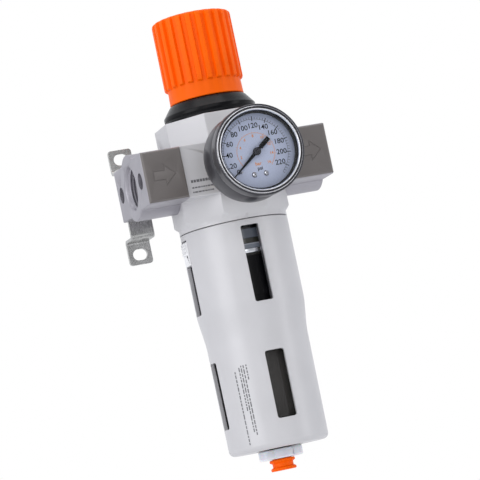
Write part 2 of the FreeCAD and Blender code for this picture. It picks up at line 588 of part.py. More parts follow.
def make_panel(node, way):
    """A dark cover panel with the outline of a flow arrow sunk in its front face."""
    body = new_body(node)
    middle = "body_flats / 2 + block_length / 2"
    left = f"{way} * ({middle}) - panel_length / 2"
    right = f"{way} * ({middle}) + panel_length / 2"
    sheet_outline = [(left, "-panel_rise"), (right, "-panel_rise"), (right, "panel_rise"),
                     (left, "panel_rise")]
    sketch = new_sketch(body, "XZ_Plane", "bar_depth")
    pad(body, outline(sketch, sheet_outline), "panel_thickness")
    face = -size("bar_depth") - size("panel_thickness")
    names = []
    for number, edge in enumerate(body.Tip.Shape.Edges, start=1):
        if abs(edge.CenterOfMass.y - face) < 1e-3:
            names.append(f"Edge{number}")
    rounded(body, names, "panel_bevel", "Chamfer")
    base = f"{way} * ({middle})"
    shaft = "arrow_shaft"
    arrow = [(f"{base} + arrow_tip", "0"), (f"{base}", "arrow_wing"), (f"{base}", shaft),
             (f"{base} - arrow_tail", shaft), (f"{base} - arrow_tail", f"-{shaft}"),
             (f"{base}", f"-{shaft}"), (f"{base}", "-arrow_wing")]
    line = "arrow_line"
    near_wing = f"{base} + {line}"
    far_tail = f"{base} - arrow_tail + {line}"
    inner = [(f"{base} + arrow_tip - {line} * arrow_point_share", "0"),
             (near_wing, f"arrow_wing - {line} * arrow_wing_share"), (near_wing, f"{shaft} - {line}"),
             (far_tail, f"{shaft} - {line}"), (far_tail, f"{line} - {shaft}"),
             (near_wing, f"{line} - {shaft}"), (near_wing, f"{line} * arrow_wing_share - arrow_wing")]
    sketch = new_sketch(body, "XZ_Plane", "bar_depth + panel_thickness")
    outline(sketch, arrow)
    outline(sketch, inner)
    pocket(body, sketch, "arrow_depth")
    finish(body, node)


def make_port_screws():
    """The four socket screws that hold the blocks, as one group of solids."""
    screws = []
    seat = "body_flats / 2 + block_length - bolt_well_depth"
    for way in ("-1", "1"):
        for side in ("-bolt_offset", "bolt_offset"):
            head = new_body("port_screw")
            turned(head, [("0", "0"), ("bolt_radius - slip", "0"),
                          ("bolt_radius - slip", f"{seat} - body_flats / 2 + bolt_reach"),
                          ("bolt_head", f"{seat} - body_flats / 2 + bolt_reach"),
                          ("bolt_head", f"{seat} - body_flats / 2 + bolt_reach + bolt_head_height"),
                          ("0", f"{seat} - body_flats / 2 + bolt_reach + bolt_head_height")])
            top = f"{seat} - body_flats / 2 + bolt_reach + bolt_head_height"
            pocket(head, hexagon(new_sketch(head, "XY_Plane", top), "bolt_key"), "bolt_key_depth")
            lean = FreeCAD.Rotation(FreeCAD.Vector(0, 1, 0), 90 * int(way))
            put(head, f"{way} * (body_flats / 2 - bolt_reach)", side, "0", lean)
            screws.append(head)
    finish(joined(screws), "port_block_screws")


def make_port_seals():
    level = "(body_flats / 2 + seal_wire)"
    seals = [ring("seal_mean", "seal_wire", level, turn=ALONG_X),
             ring("seal_mean", "seal_wire", f"-{level}", turn=ALONG_X)]
    finish(joined(seals), "port_seals")


# ---------------------------------------------------------------- wall bracket
def make_bracket():
    """A hat-shaped strip: a strap behind the inlet block and two tabs on the wall plane."""
    body = new_body("wall_bracket")
    near = "bar_depth"
    far = "bar_depth + bracket_reach"
    inner = "bracket_waist - bracket_sheet"
    strip = [(near, "-bracket_waist"), (near, "bracket_waist"),
             (f"{far} - bracket_sheet", "bracket_waist"), (f"{far} - bracket_sheet", "bracket_tip"),
             (far, "bracket_tip"), (far, inner), (f"{near} + bracket_sheet", inner),
             (f"{near} + bracket_sheet", f"-({inner})"), (far, f"-({inner})"),
             (far, "-bracket_tip"), (f"{far} - bracket_sheet", "-bracket_tip"),
             (f"{far} - bracket_sheet", "-bracket_waist")]
    pad(body, outline(new_sketch(body, "YZ_Plane"), strip), "bracket_width", both_ways=True)
    near_y = size("bar_depth")
    sheet_y = size("bracket_sheet")
    far_y = near_y + size("bracket_reach")
    outer = [near_y, far_y]
    inside = [near_y + sheet_y, far_y - sheet_y]
    waist = size("bracket_waist")

    def outside_bend(middle):
        return (abs(middle.y - outer[0]) < 0.01 and abs(abs(middle.z) - waist) < 0.01
                or abs(middle.y - outer[1]) < 0.01 and abs(abs(middle.z) - waist + sheet_y) < 0.01)

    def inside_bend(middle):
        return (abs(middle.y - inside[0]) < 0.01 and abs(abs(middle.z) - waist + sheet_y) < 0.01
                or abs(middle.y - inside[1]) < 0.01 and abs(abs(middle.z) - waist) < 0.01)

    rounded(body, edges_along(body, X_WAY, outside_bend), "bracket_bend")
    rounded(body, edges_along(body, X_WAY, inside_bend), "bracket_inner_bend")
    tip = size("bracket_tip")
    tips = edges_along(body, FreeCAD.Vector(0, 1, 0),
                       lambda middle: abs(abs(middle.z) - tip) < 0.01)
    rounded(body, tips, "bracket_corner")
    tools = []
    for rise in ("-bracket_hole_place", "bracket_hole_place"):
        straight = "(bracket_hole_length - bracket_hole_height) / 2"
        start = f"{far} - bracket_sheet - 1"
        for across in (f"-{straight}", straight):
            tools.append(rod("bracket_hole_height / 2", "bracket_sheet + 2", across, start, rise,
                             FACING_BACK))
        tools.append(box("bracket_hole_length - bracket_hole_height", "bracket_sheet + 2",
                         "bracket_hole_height", f"-{straight}", start,
                         f"{rise} - bracket_hole_height / 2"))
    for rise in ("-bracket_screw_place", "bracket_screw_place"):
        tools.append(rod("bracket_screw_radius + bracket_screw_play", "bracket_sheet + 2", "0", f"{near} - 1",
                         f"{rise} - bracket_centre", FACING_BACK))
    strap = cut(body, tools)
    strap.Label = "wall_bracket"
    put(strap, "half_width + bracket_place", "0", "bracket_centre")
    SUB_PARTS.append(("wall_bracket", strap))


def make_bracket_screws():
    screws = []
    for rise in ("-bracket_screw_place", "bracket_screw_place"):
        screw = new_body("bracket_screw")
        shoulder = "bracket_screw_reach + bracket_sheet"
        turned(screw, [("0", "0"), ("bracket_screw_radius - slip", "0"),
                       ("bracket_screw_radius - slip", shoulder), ("bracket_screw_head", shoulder),
                       ("bracket_screw_head", f"{shoulder} + bracket_screw_rise"),
                       ("0", f"{shoulder} + bracket_screw_rise")])
        top = f"{shoulder} + bracket_screw_rise"
        cross = new_sketch(screw, "XY_Plane", top)
        pocket(screw, hexagon(cross, "bracket_screw_radius"), "bracket_screw_rise / 2")
        put(screw, "bracket_place", "bar_depth - bracket_screw_reach", rise, FACING_BACK)
        screws.append(screw)
    finish(joined(screws), "bracket_screws")


# ---------------------------------------------------------------- bonnet, knob and screw
def make_bonnet_ring():
    notch = "ring_radius - ring_groove"
    line = "ring_foot + ring_line"
    body = lathe_piece("bonnet_ring", [
        ("ring_thread", "ring_foot"), (notch, "ring_foot"), ("ring_radius", "ring_foot + ring_groove"),
        ("ring_radius", line), (notch, f"{line} + ring_groove"), (notch, f"{line} + ring_groove * 2"),
        ("ring_radius", f"{line} + ring_groove * 3"), ("ring_radius", "ring_shoulder - ring_groove"),
        (notch, "ring_shoulder"), ("ring_top_radius + ring_groove", "ring_top - ring_groove"),
        ("ring_top_radius", "ring_top"), ("ring_bore", "ring_top"),
        ("ring_bore", "bonnet_shoulder + slip"), ("ring_thread", "bonnet_shoulder + slip")])
    finish(body, "bonnet_ring")


def make_spring_bonnet():
    body = lathe_piece("spring_bonnet", [
        ("bonnet_hole", "bonnet_roof"), ("bonnet_hole", "bonnet_top"), ("bonnet_tube", "bonnet_top"),
        ("bonnet_tube", "bonnet_shoulder"), ("bonnet_flange", "bonnet_shoulder"),
        ("bonnet_flange", "bonnet_foot"), ("bonnet_bore", "bonnet_foot"),
        ("bonnet_bore", "bonnet_roof")])
    for way in ("", "-"):
        key = [(f"{way}(bonnet_bore - key_depth)", "-key_width / 2"),
               (f"{way}(bonnet_bore + 1)", "-key_width / 2"),
               (f"{way}(bonnet_bore + 1)", "key_width / 2"),
               (f"{way}(bonnet_bore - key_depth)", "key_width / 2")]
        pad(body, outline(new_sketch(body, "XY_Plane", "key_low"), key), "key_high - key_low")
    finish(body, "spring_bonnet")


def make_knob():
    body = lathe_piece("adjusting_knob", [
        ("0", "knob_top + knob_crown"), ("knob_root / 2", "knob_top + knob_crown * 3 / 4"),
        ("knob_root", "knob_top"), ("knob_root", "knob_foot"), ("knob_bore", "knob_foot"),
        ("knob_bore", "knob_roof"), ("knob_boss", "knob_roof"), ("knob_boss", "knob_boss_foot"),
        ("0", "knob_boss_foot")])
    rounded(body, ring_edges(body, size("knob_root"), size("knob_top")), "knob_crown * 2")
    rib = [("knob_root - 1", "-rib_width / 2"), ("knob_ribs - rib_chamfer / 2", "-rib_width / 2"),
           ("knob_ribs", "-rib_width / 2 + rib_chamfer"), ("knob_ribs", "rib_width / 2 - rib_chamfer"),
           ("knob_ribs - rib_chamfer / 2", "rib_width / 2"), ("knob_root - 1", "rib_width / 2")]
    bar = pad(body, outline(new_sketch(body, "XY_Plane", "rib_foot"), rib), "rib_top - rib_foot")
    around(body, [bar], "rib_count")
    chamfer = "rib_end_chamfer"
    groove(body, [("knob_ribs - " + chamfer, "rib_top"), ("knob_ribs + 1", "rib_top"),
                  ("knob_ribs + 1", f"rib_top - 1 - {chamfer}"), ("knob_ribs", f"rib_top - {chamfer}")])
    pocket(body, hexagon(new_sketch(body, "XY_Plane", "knob_socket_top"), "socket_hex"),
           "knob_socket_top - knob_boss_foot + 1")
    finish(body, "adjusting_knob", FreeCAD.Rotation(Z_WAY, size("knob_phase")))


def make_adjusting_screw():
    body = lathe_piece("adjusting_screw", [
        ("0", "screw_end"), ("screw_radius - 1", "screw_end"), ("screw_radius", "screw_end + 1"),
        ("screw_radius", "collar_low"), ("screw_collar", "collar_low"), ("screw_collar", "collar_high"),
        ("screw_radius", "collar_high"), ("screw_radius", "bonnet_top + screw_neck"),
        ("0", "bonnet_top + screw_neck")])
    pad(body, hexagon(new_sketch(body, "XY_Plane", "bonnet_top + screw_neck"), "screw_hex"),
        "screw_head_top - bonnet_top - screw_neck")
    finish(body, "adjusting_screw", FreeCAD.Rotation(Z_WAY, size("knob_phase")))


def make_thrust_washer():
    finish(lathe_piece("thrust_washer", [
        ("washer_bore", "washer_low"), ("screw_collar", "washer_low"),
        ("screw_collar", "washer_high"), ("washer_bore", "washer_high")]), "thrust_washer")


def make_spring_nut():
    body = lathe_piece("spring_nut", [
        ("nut_bore", "nut_low"), ("nut_hub", "nut_low"), ("nut_hub", "nut_seat"),
        ("nut_radius", "nut_seat"), ("nut_radius", "nut_top"), ("nut_bore", "nut_top")])
    for way in ("", "-"):
        notch = [(f"{way}(nut_radius - key_depth - nut_notch_play)", "-nut_notch / 2"),
                 (f"{way}(nut_radius + 1)", "-nut_notch / 2"),
                 (f"{way}(nut_radius + 1)", "nut_notch / 2"),
                 (f"{way}(nut_radius - key_depth - nut_notch_play)", "nut_notch / 2")]
        pocket(body, outline(new_sketch(body, "XY_Plane", "nut_top"), notch), "nut_top - nut_low")
    finish(body, "spring_nut")


# ---------------------------------------------------------------- diaphragm and valve
def make_diaphragm():
    flat = "clamp_ledge + slip"
    bow = "roll_rise"
    finish(lathe_piece("diaphragm", [
        ("diaphragm_hole", flat), ("roll_inner", flat), ("roll_inner + roll_slope", f"{flat} - {bow}"),
        ("roll_outer - roll_slope", f"{flat} - {bow}"), ("roll_outer", flat), ("diaphragm_radius", flat),
        ("diaphragm_radius", "diaphragm_top"), ("roll_outer - roll_skin", "diaphragm_top"),
        ("roll_outer - roll_upper", f"diaphragm_top - {bow}"),
        ("roll_inner + roll_upper", f"diaphragm_top - {bow}"),
        ("roll_inner + roll_skin", "diaphragm_top"), ("diaphragm_hole", "diaphragm_top")]), "diaphragm")


def make_diaphragm_plates():
    foot = "diaphragm_top + slip"
    finish(lathe_piece("diaphragm_top_plate", [
        ("plate_hub + slip", foot), ("plate_radius", foot), ("plate_radius", "plate_rim"),
        ("plate_radius - plate_wall", "plate_rim"), ("plate_radius - plate_wall", "plate_top"),
        ("plate_hub + slip", "plate_top")]), "diaphragm_top_plate")
    finish(lathe_piece("diaphragm_bottom_plate", [
        ("vent_radius", "lower_plate_foot"), ("lower_plate_radius", "lower_plate_foot"),
        ("lower_plate_radius", "clamp_ledge"), ("plate_hub", "clamp_ledge"),
        ("plate_hub", "plate_hub_top"), ("vent_radius", "plate_hub_top")]), "diaphragm_bottom_plate")


def make_valve():
    finish(lathe_piece("valve_seat_ring", [
        ("seat_bore", "seat_nose + seat_chamfer"), ("seat_bore + 0.5", "seat_nose"),
        ("seat_bore + 1", "seat_nose"), ("seat_hole - slip", "seat_nose + 1"),
        ("seat_hole - slip", "chamber_floor"), ("seat_lip", "chamber_floor"),
        ("seat_lip", "seat_top"), ("seat_bore", "seat_top")]), "valve_seat_ring")
    finish(lathe_piece("valve_stem", [
        ("0", "stem_foot"), ("stem_radius", "stem_foot"), ("stem_radius", "stem_top - 1"),
        ("stem_radius - 1", "stem_top"), ("0", "stem_top")]), "valve_stem")
    finish(lathe_piece("valve_poppet", [
        ("0", "poppet_end"), ("poppet_hub", "poppet_end"), ("poppet_hub", "poppet_rim"),
        ("poppet_radius", "poppet_rim"), ("poppet_radius", "poppet_top"),
        ("stem_radius + slip", "poppet_top"), ("stem_radius + slip", "stem_foot - slip"),
        ("0", "stem_foot - slip")]), "valve_poppet")
    finish(lathe_piece("poppet_seal", [
        ("stem_radius + slip", "poppet_top + slip"), ("pad_radius", "poppet_top + slip"),
        ("pad_radius", "pad_top"), ("stem_radius + slip", "pad_top")]), "poppet_seal")
    guide = lathe_piece("valve_guide", [
        ("guide_thread", "guide_web_top"), ("guide_wall", "guide_web_top"),
        ("guide_wall", "guide_top"), ("tube_bore - slip", "guide_top"), ("tube_bore - slip", "tube_end"),
        ("guide_wall", "tube_end"), ("guide_wall", "guide_web_top - guide_web"),
        ("guide_boss", "guide_web_top - guide_web"), ("guide_boss", "guide_boss_end"),
        ("guide_thread", "guide_boss_end")])
    air = circle(new_sketch(guide, "XY_Plane", "guide_web_top"), "guide_air", "guide_air_place")
    around(guide, [pocket(guide, air, "guide_web")], "guide_air_count")
    finish(guide, "valve_guide")


def make_springs():
    play = size("spring_play")
    main = coil("main_spring", size("spring_mean"), size("spring_wire"), size("plate_top") + play,
                size("nut_seat") - play, size("spring_turns"))
    finish(main, "main_spring")
    small = coil("valve_spring", size("valve_spring_mean"), size("valve_spring_wire"),
                 size("guide_web_top") + play, size("poppet_rim") - play, size("valve_spring_turns"))
    finish(small, "valve_spring")
    low = size("shelf_top") + play
    catch = coil("lock_spring", size("catch_spring_mean"), size("catch_spring_wire"), low,
                 size("catch_foot") - play, size("catch_spring_turns"))
    middle = (size("catch_inner") + size("guard_radius") - size("guard_wall")) / 2
    catch.Label = "lock_spring"
    catch.Placement = FreeCAD.Placement(FreeCAD.Vector(size("half_width") - middle, 0, 0), UPRIGHT)
    SUB_PARTS.append(("lock_spring", catch))


# ---------------------------------------------------------------- filter
def make_filter():
    body = lathe_piece("swirl_deflector", [
        ("deflector_bore", "deflector_rim"), ("deflector_bore", "deflector_top"),
        ("tube_outer", "deflector_top"), ("deflector_radius", "deflector_rim"),
        ("deflector_radius", "deflector_foot"), ("deflector_radius - deflector_wall", "deflector_foot"),
        ("deflector_radius - deflector_wall", "deflector_rim - deflector_wall"),
        ("deflector_bore", "deflector_rim - deflector_wall")])
    lean = "vane_length * tan(vane_lean)"
    vane = [("tube_outer + 1", "0"), ("tube_outer + 1 + vane_length", lean),
            ("tube_outer + 1 + vane_length", f"{lean} + vane_width"), ("tube_outer + 1", "vane_width")]
    sketch = new_sketch(body, "XY_Plane", "deflector_top")
    slot = pocket(body, outline(sketch, vane), "deflector_top - deflector_foot - vane_floor")
    around(body, [slot], "vane_count")
    finish(body, "swirl_deflector")
    finish(lathe_piece("filter_element", [
        ("filter_bore", "filter_foot"), ("filter_radius", "filter_foot"),
        ("filter_radius", "filter_top"), ("filter_bore", "filter_top")]), "filter_element")
    finish(lathe_piece("filter_baffle", [
        ("0", "baffle_tip"), ("stud_radius * 2", "baffle_tip"), ("baffle_radius", "baffle_foot"),
        ("baffle_radius", "baffle_lip"), ("baffle_radius - baffle_wall", "baffle_lip"),
        ("baffle_radius - baffle_wall", "filter_foot - slip"), ("stud_radius", "filter_foot - slip"),
        ("stud_radius", "stud_top"), ("0", "stud_top")]), "filter_baffle")


# ---------------------------------------------------------------- bowl and its guard
def make_bowl():
    body = lathe_piece("filter_bowl", [
        ("bowl_bore", "bowl_top"), ("bowl_radius", "bowl_top"), ("bowl_radius", "o_groove_high"),
        ("o_groove_floor", "o_groove_high"), ("o_groove_floor", "o_groove_low"),
        ("bowl_radius", "o_groove_low"), ("bowl_radius", "bowl_flange_top"),
        ("bowl_flange", "bowl_flange_top"), ("bowl_flange", "bowl_flange_foot"),
        ("bowl_radius", "bowl_flange_foot"), ("bowl_radius", "bowl_foot"), ("bowl_boss", "bowl_foot"),
        ("bowl_boss", "bowl_boss_end"), ("drain_bore", "bowl_boss_end"), ("drain_bore", "bowl_floor"),
        ("bowl_bore", "bowl_floor")])
    rounded(body, ring_edges(body, size("bowl_radius"), size("bowl_foot")), "bowl_round")
    rounded(body, ring_edges(body, size("bowl_bore"), size("bowl_floor")), "bowl_round_in")
    finish(body, "filter_bowl")
    finish(ring("o_mean", "o_wire"), "bowl_seal_ring", level="o_level")
    finish(lathe_piece("bowl_top_ring", [
        ("band_bore", "band_low"), ("band_radius", "band_low"), ("band_radius", "band_high"),
        ("band_bore", "band_high")]), "bowl_top_ring")
    step = "liner_radius - liner_step"
    finish(lathe_piece("bowl_liner", [
        ("band_bore", "liner_foot"), (step, "liner_foot"), (step, "liner_band_low"),
        ("liner_radius", "liner_band_low"), ("liner_radius", "liner_band_high"),
        (step, "liner_band_high"), (step, "liner_top"), ("band_bore", "liner_top")]), "bowl_liner")


def make_guard():
    body = lathe_piece("bowl_guard", [
        ("spigot_inner", "bowl_flange_foot - slip"), ("spigot_outer", "bowl_flange_foot - slip"),
        ("spigot_outer", "guard_top"), ("guard_radius", "guard_top"), ("guard_radius", "guard_knee"),
        ("guard_low_radius", "guard_waist"), ("guard_foot_radius", "guard_foot"),
        ("guard_hole", "guard_foot"), ("guard_hole", "guard_foot + guard_floor"),
        ("guard_foot_radius - guard_wall", "guard_foot + guard_floor"),
        ("guard_low_radius - guard_wall", "guard_waist"),
        ("guard_radius - guard_wall", "guard_knee"),
        ("guard_radius - guard_wall", "guard_top - guard_disc"),
        ("spigot_inner", "guard_top - guard_disc")])
    bends = ring_edges(body, size("guard_radius"), size("guard_knee"))
    bends += ring_edges(body, size("guard_low_radius"), size("guard_waist"))
    rounded(body, bends, "guard_bend")
    rounded(body, ring_edges(body, size("guard_foot_radius"), size("guard_foot")), "guard_corner")
    rounded(body, ring_edges(body, size("guard_radius"), size("guard_top")), "body_edge")
    lug = [("spigot_outer - 1", "-lug_width / 2"), ("lug_radius", "-lug_width / 2"),
           ("lug_radius", "lug_width / 2"), ("spigot_outer - 1", "lug_width / 2")]
    sketch = new_sketch(body, "XY_Plane", "lug_low")
    turned_lug = FreeCAD.Rotation(Z_WAY, size("lug_turn"))
    sketch.AttachmentOffset = FreeCAD.Placement(FreeCAD.Vector(), turned_lug)
    sketch.setExpression(".AttachmentOffset.Base.z", formula("lug_low"))
    around(body, [pad(body, outline(sketch, lug), "lug_high - lug_low")], "lug_count")
    inner = "(guard_radius - guard_wall)"
    for way in ("", "-"):
        flank = [(f"{way}(slot_width / 2)", f"-({inner} + rib_bite)"),
                 (f"{way}(slot_width / 2 + rib_wall)", f"-({inner} + rib_bite)"),
                 (f"{way}(slot_width / 2 + rib_wall)", f"rib_depth - {inner}"),
                 (f"{way}(slot_width / 2)", f"rib_depth - {inner}")]
        sketch = new_sketch(body, "XY_Plane", "slot_centre - slot_height / 2 - 1")
        wall = pad(body, outline(sketch, flank), "slot_height + rib_spare")
        around(body, [wall], "window_count")
    sketch = new_sketch(body, "XZ_Plane")
    slot = rounded_window(sketch, "slot_width", "slot_height", "slot_centre", "slot_corner")
    upper = pocket(body, slot, "guard_radius + 2", backwards=True)
    around(body, [upper], "window_count")
    sketch = new_sketch(body, "XZ_Plane")
    window = rounded_window(sketch, "window_width", "window_height", "window_centre", "window_corner")
    lower = pocket(body, window, "guard_radius + 2", backwards=True)
    around(body, [lower], "window_count")
    near = "-catch_inner + catch_notch_play"
    far = "-catch_tooth_out - catch_notch_play"
    notch = [(near, "-catch_notch / 2"), (far, "-catch_notch / 2"), (far, "catch_notch / 2"),
             (near, "catch_notch / 2")]
    pocket(body, outline(new_sketch(body, "XY_Plane", "guard_top + 1"), notch), "guard_disc + 2")
    wall_inside = "-guard_radius + guard_wall - shelf_bite"
    shelf = [("-catch_inner", "-shelf_width / 2"), (wall_inside, "-shelf_width / 2"),
             (wall_inside, "shelf_width / 2"), ("-catch_inner", "shelf_width / 2")]
    pad(body, outline(new_sketch(body, "XY_Plane", "shelf_top - shelf_height"), shelf), "shelf_height")
    finish(body, "bowl_guard")


def make_catch():
    """The slide in the left upper slot: thumb pad outside, tooth upwards into the body's rim."""
    body = new_body("bowl_lock_slide")
    half = "catch_width / 2"
    slab = [("-catch_inner", f"-{half}"), ("-guard_radius", f"-{half}"), ("-guard_radius", half),
            ("-catch_inner", half)]
    pad(body, outline(new_sketch(body, "XY_Plane", "catch_foot"), slab), "catch_top - catch_foot")
    thumb = [("-guard_radius + 1", f"-{half}"), ("-catch_outer", f"-{half} + 1"),
             ("-catch_outer", f"{half} - 1"), ("-guard_radius + 1", half)]
    pad(body, outline(new_sketch(body, "XY_Plane", "catch_thumb_low"), thumb),
        "catch_top - catch_thumb_low - catch_thumb_drop")
    tooth = [("-catch_inner", "-catch_tooth_width / 2"), ("-catch_tooth_out", "-catch_tooth_width / 2"),
             ("-catch_tooth_out", "catch_tooth_width / 2"), ("-catch_inner", "catch_tooth_width / 2")]
    pad(body, outline(new_sketch(body, "XY_Plane", "catch_top - 1"), tooth),
        "catch_tooth_top - catch_top + 1")
    for step in range(3):
        level = f"catch_thumb_low + catch_line_low + {step} * catch_line_step"
        line = [("-catch_outer - 1", f"-{half} - 1"), ("-catch_outer + 0.5", f"-{half} - 1"),
                ("-catch_outer + 0.5", f"{half} + 1"), ("-catch_outer - 1", f"{half} + 1")]
        sketch = new_sketch(body, "XY_Plane", f"{level} + catch_line_width")
        pocket(body, outline(sketch, line), "catch_line_width")
    finish(body, "bowl_lock_slide")


# ---------------------------------------------------------------- drain
def make_drain():
    height = "collar_top - collar_foot"
    body = new_body("drain_collar")
    pad(body, circle(new_sketch(body, "XY_Plane", "collar_foot"), "collar_bore + collar_wall"), height)
    for way in ("", "-"):
        lobe = circle(new_sketch(body, "XY_Plane", "collar_foot"), "collar_lobe",
                      f"{way}collar_lobe_place")
        pad(body, lobe, height)
    foot = size("collar_foot")
    names = []
    for number, edge in enumerate(body.Tip.Shape.Edges, start=1):
        if abs(edge.BoundBox.ZMax - foot) < 1e-3:
            names.append(f"Edge{number}")
    rounded(body, names, "collar_round")
    pocket(body, circle(new_sketch(body, "XY_Plane", "collar_top + 1"), "collar_bore"), f"{height} + 2")
    finish(body, "drain_collar")
    low = "drain_foot + drain_flange_height"
    high = "drain_top - drain_flange_height"
    knob = lathe_piece("drain_knob", [
        ("drain_outlet", "drain_foot"), ("drain_flange - drain_edge", "drain_foot"),
        ("drain_flange", "drain_foot + drain_edge"), ("drain_flange", f"{low} - drain_edge"),
        ("drain_waist", f"{low} + drain_slope"), ("drain_waist", f"{high} - drain_slope"),
        ("drain_flange", f"{high} + drain_edge"), ("drain_flange", "drain_top - drain_edge"),
        ("drain_flange - drain_edge", "drain_top"), ("drain_neck", "drain_top"),
        ("drain_neck", "drain_neck_top"), ("drain_knob_bore", "drain_neck_top"),
        ("drain_knob_bore", "drain_stem_foot - stem_play"), ("drain_outlet", "drain_stem_foot - stem_play")])
    flute = circle(new_sketch(knob, "XY_Plane", "drain_top"), "flute_radius", "drain_flange + flute_offset")
    around(knob, [pocket(knob, flute, "drain_top - drain_foot")], "flute_count")
    finish(knob, "drain_knob")
    finish(lathe_piece("drain_stem", [
        ("0", "drain_stem_foot"), ("drain_stem_radius", "drain_stem_foot"),
        ("drain_stem_radius", "drain_head_foot"), ("drain_head", "drain_head_foot"),
        ("drain_head", "drain_head_top"), ("0", "drain_head_top")]), "drain_stem")
    finish(ring("drain_seal_mean", "drain_seal_wire"), "drain_seal_ring",
           level="drain_head_foot - drain_seal_wire - slip")


# ---------------------------------------------------------------- gauge
def make_gauge_shell():
    case = lathe_piece("gauge_case", [
        ("case_hole", "case_back"), ("case_radius", "case_back"), ("case_radius", "case_front"),
        ("case_radius - case_wall", "case_front"), ("case_radius - case_wall", "case_back + case_wall"),
        ("case_hole", "case_back + case_wall")])
    rounded(case, ring_edges(case, size("case_radius"), size("case_back")), "case_round")
    rounded(case, ring_edges(case, size("case_radius") - size("case_wall"),
                             size("case_back") + size("case_wall")), "case_round - case_wall")
    face_front(case, "gauge_case")
    bezel = lathe_piece("gauge_bezel", [
        ("bezel_inner", "bezel_back"), ("bezel_radius - bezel_edge", "bezel_back"),
        ("bezel_radius", "bezel_back + bezel_roll"), ("bezel_radius", "bezel_rim"),
        ("bezel_crown + 1", "bezel_front"), ("bezel_crown", "bezel_front"),
        ("bezel_opening", "bezel_lip - bezel_edge"), ("bezel_opening", "bezel_step"),
        ("bezel_inner", "bezel_step")])
    edge = ring_edges(bezel, size("bezel_radius"), size("bezel_rim"))
    rounded(bezel, edge, "body_edge * 2")
    face_front(bezel, "gauge_bezel")
    face_front(lathe_piece("gauge_window", [
        ("0", "glass_back"), ("glass_radius", "glass_back"), ("glass_radius", "glass_front"),
        ("0", "glass_front")]), "gauge_window")
    face_front(lathe_piece("gauge_gasket", [
        ("gasket_inner", "gasket_back"), ("gasket_outer", "gasket_back"),
        ("gasket_outer", "gasket_front"), ("gasket_inner", "gasket_front")]), "gauge_gasket")


def make_dial():
    dial = lathe_piece("gauge_dial", [
        ("dial_hole", "dial_back"), ("dial_radius", "dial_back"), ("dial_radius", "dial_front"),
        ("dial_hole", "dial_front")])
    holes = new_sketch(dial, "XY_Plane", "dial_front")
    circle(holes, "dial_screw_clearance", "dial_screw_place", "-dial_screw_drop")
    circle(holes, "dial_screw_clearance", "-dial_screw_place", "-dial_screw_drop")
    pocket(dial, holes, "dial_front - dial_back + 1")
    face_front(dial, "gauge_dial")
    screws = []
    for way in ("", "-"):
        screw = new_body("dial_screw")
        turned(screw, [("0", "dial_screw_end"), ("dial_screw_shank", "dial_screw_end"),
                       ("dial_screw_shank", "dial_front + slip"),
                       ("dial_screw_head", "dial_front + slip"),
                       ("dial_screw_head", "dial_front + dial_screw_dome * dial_screw_brim"),
                       ("dial_screw_head * dial_screw_crown",
                        "dial_front + dial_screw_dome * dial_screw_shoulder"),
                       ("0", "dial_front + dial_screw_dome")])
        put(screw, f"{way}dial_screw_place", "-dial_screw_drop")
        screws.append(screw)
    face_front(joined(screws), "gauge_dial_screws")
    lead = math.radians(size("pointer_rest") + size("pin_lead"))
    pin = new_body("gauge_stop_pin")
    spot = circle(new_sketch(pin, "XY_Plane", "dial_front"), "pin_radius",
                  f"pin_place * {math.cos(lead):.4f}", f"pin_place * {math.sin(lead):.4f}")
    pad(pin, spot, "pin_top - dial_front")
    face_front(pin, "gauge_stop_pin")


def make_pointer():
    body = new_body("gauge_pointer")
    half = "pointer_tail_width / 2"
    blade = [("pointer_length", "-pointer_tip"), ("pointer_length", "pointer_tip"),
             ("0", "pointer_root"), ("-pointer_tail_start", "pointer_neck"),
             ("-pointer_tail_start", half), ("-pointer_tail", half), ("-pointer_tail", f"-{half}"),
             ("-pointer_tail_start", f"-{half}"), ("-pointer_tail_start", "-pointer_neck"),
             ("0", "-pointer_root")]
    pad(body, outline(new_sketch(body, "XY_Plane", "pointer_back"), blade),
        "pointer_front - pointer_back")
    pad(body, circle(new_sketch(body, "XY_Plane", "pointer_back"), "pointer_hub"),
        "pointer_hub_front - pointer_back")
    pocket(body, circle(new_sketch(body, "XY_Plane", "pointer_hub_front + 1"), "pointer_bore"),
           "pointer_hub_front - pointer_back + 2")
    face_front(body, "gauge_pointer", size("pointer_rest"))


def tooth_points(pitch, teeth, numbers):
    """Points along a row of gear teeth; a share is a part of one pitch."""
    points = []
    step = 2 * math.pi / teeth
    tip = pitch + size("tooth_high")
    root = pitch - size("tooth_deep")
    wide = size("tooth_root_share")
    narrow = size("tooth_tip_share")
    for number in numbers:
        middle = step * number
        for radius, side in ((root, -wide), (tip, -narrow), (tip, narrow), (root, wide)):
            angle = middle + side * size("tooth_share") * step / 2
            points.append(FreeCAD.Vector(radius * math.cos(angle), radius * math.sin(angle), 0))
    return points


def prism(points, low, high):
    """A straight prism over a closed outline of points."""
    face = Part.Face(Part.makePolygon(points + [points[0]]))
    solid = face.extrude(FreeCAD.Vector(0, 0, high - low))
    solid.translate(FreeCAD.Vector(0, 0, low))
    return solid


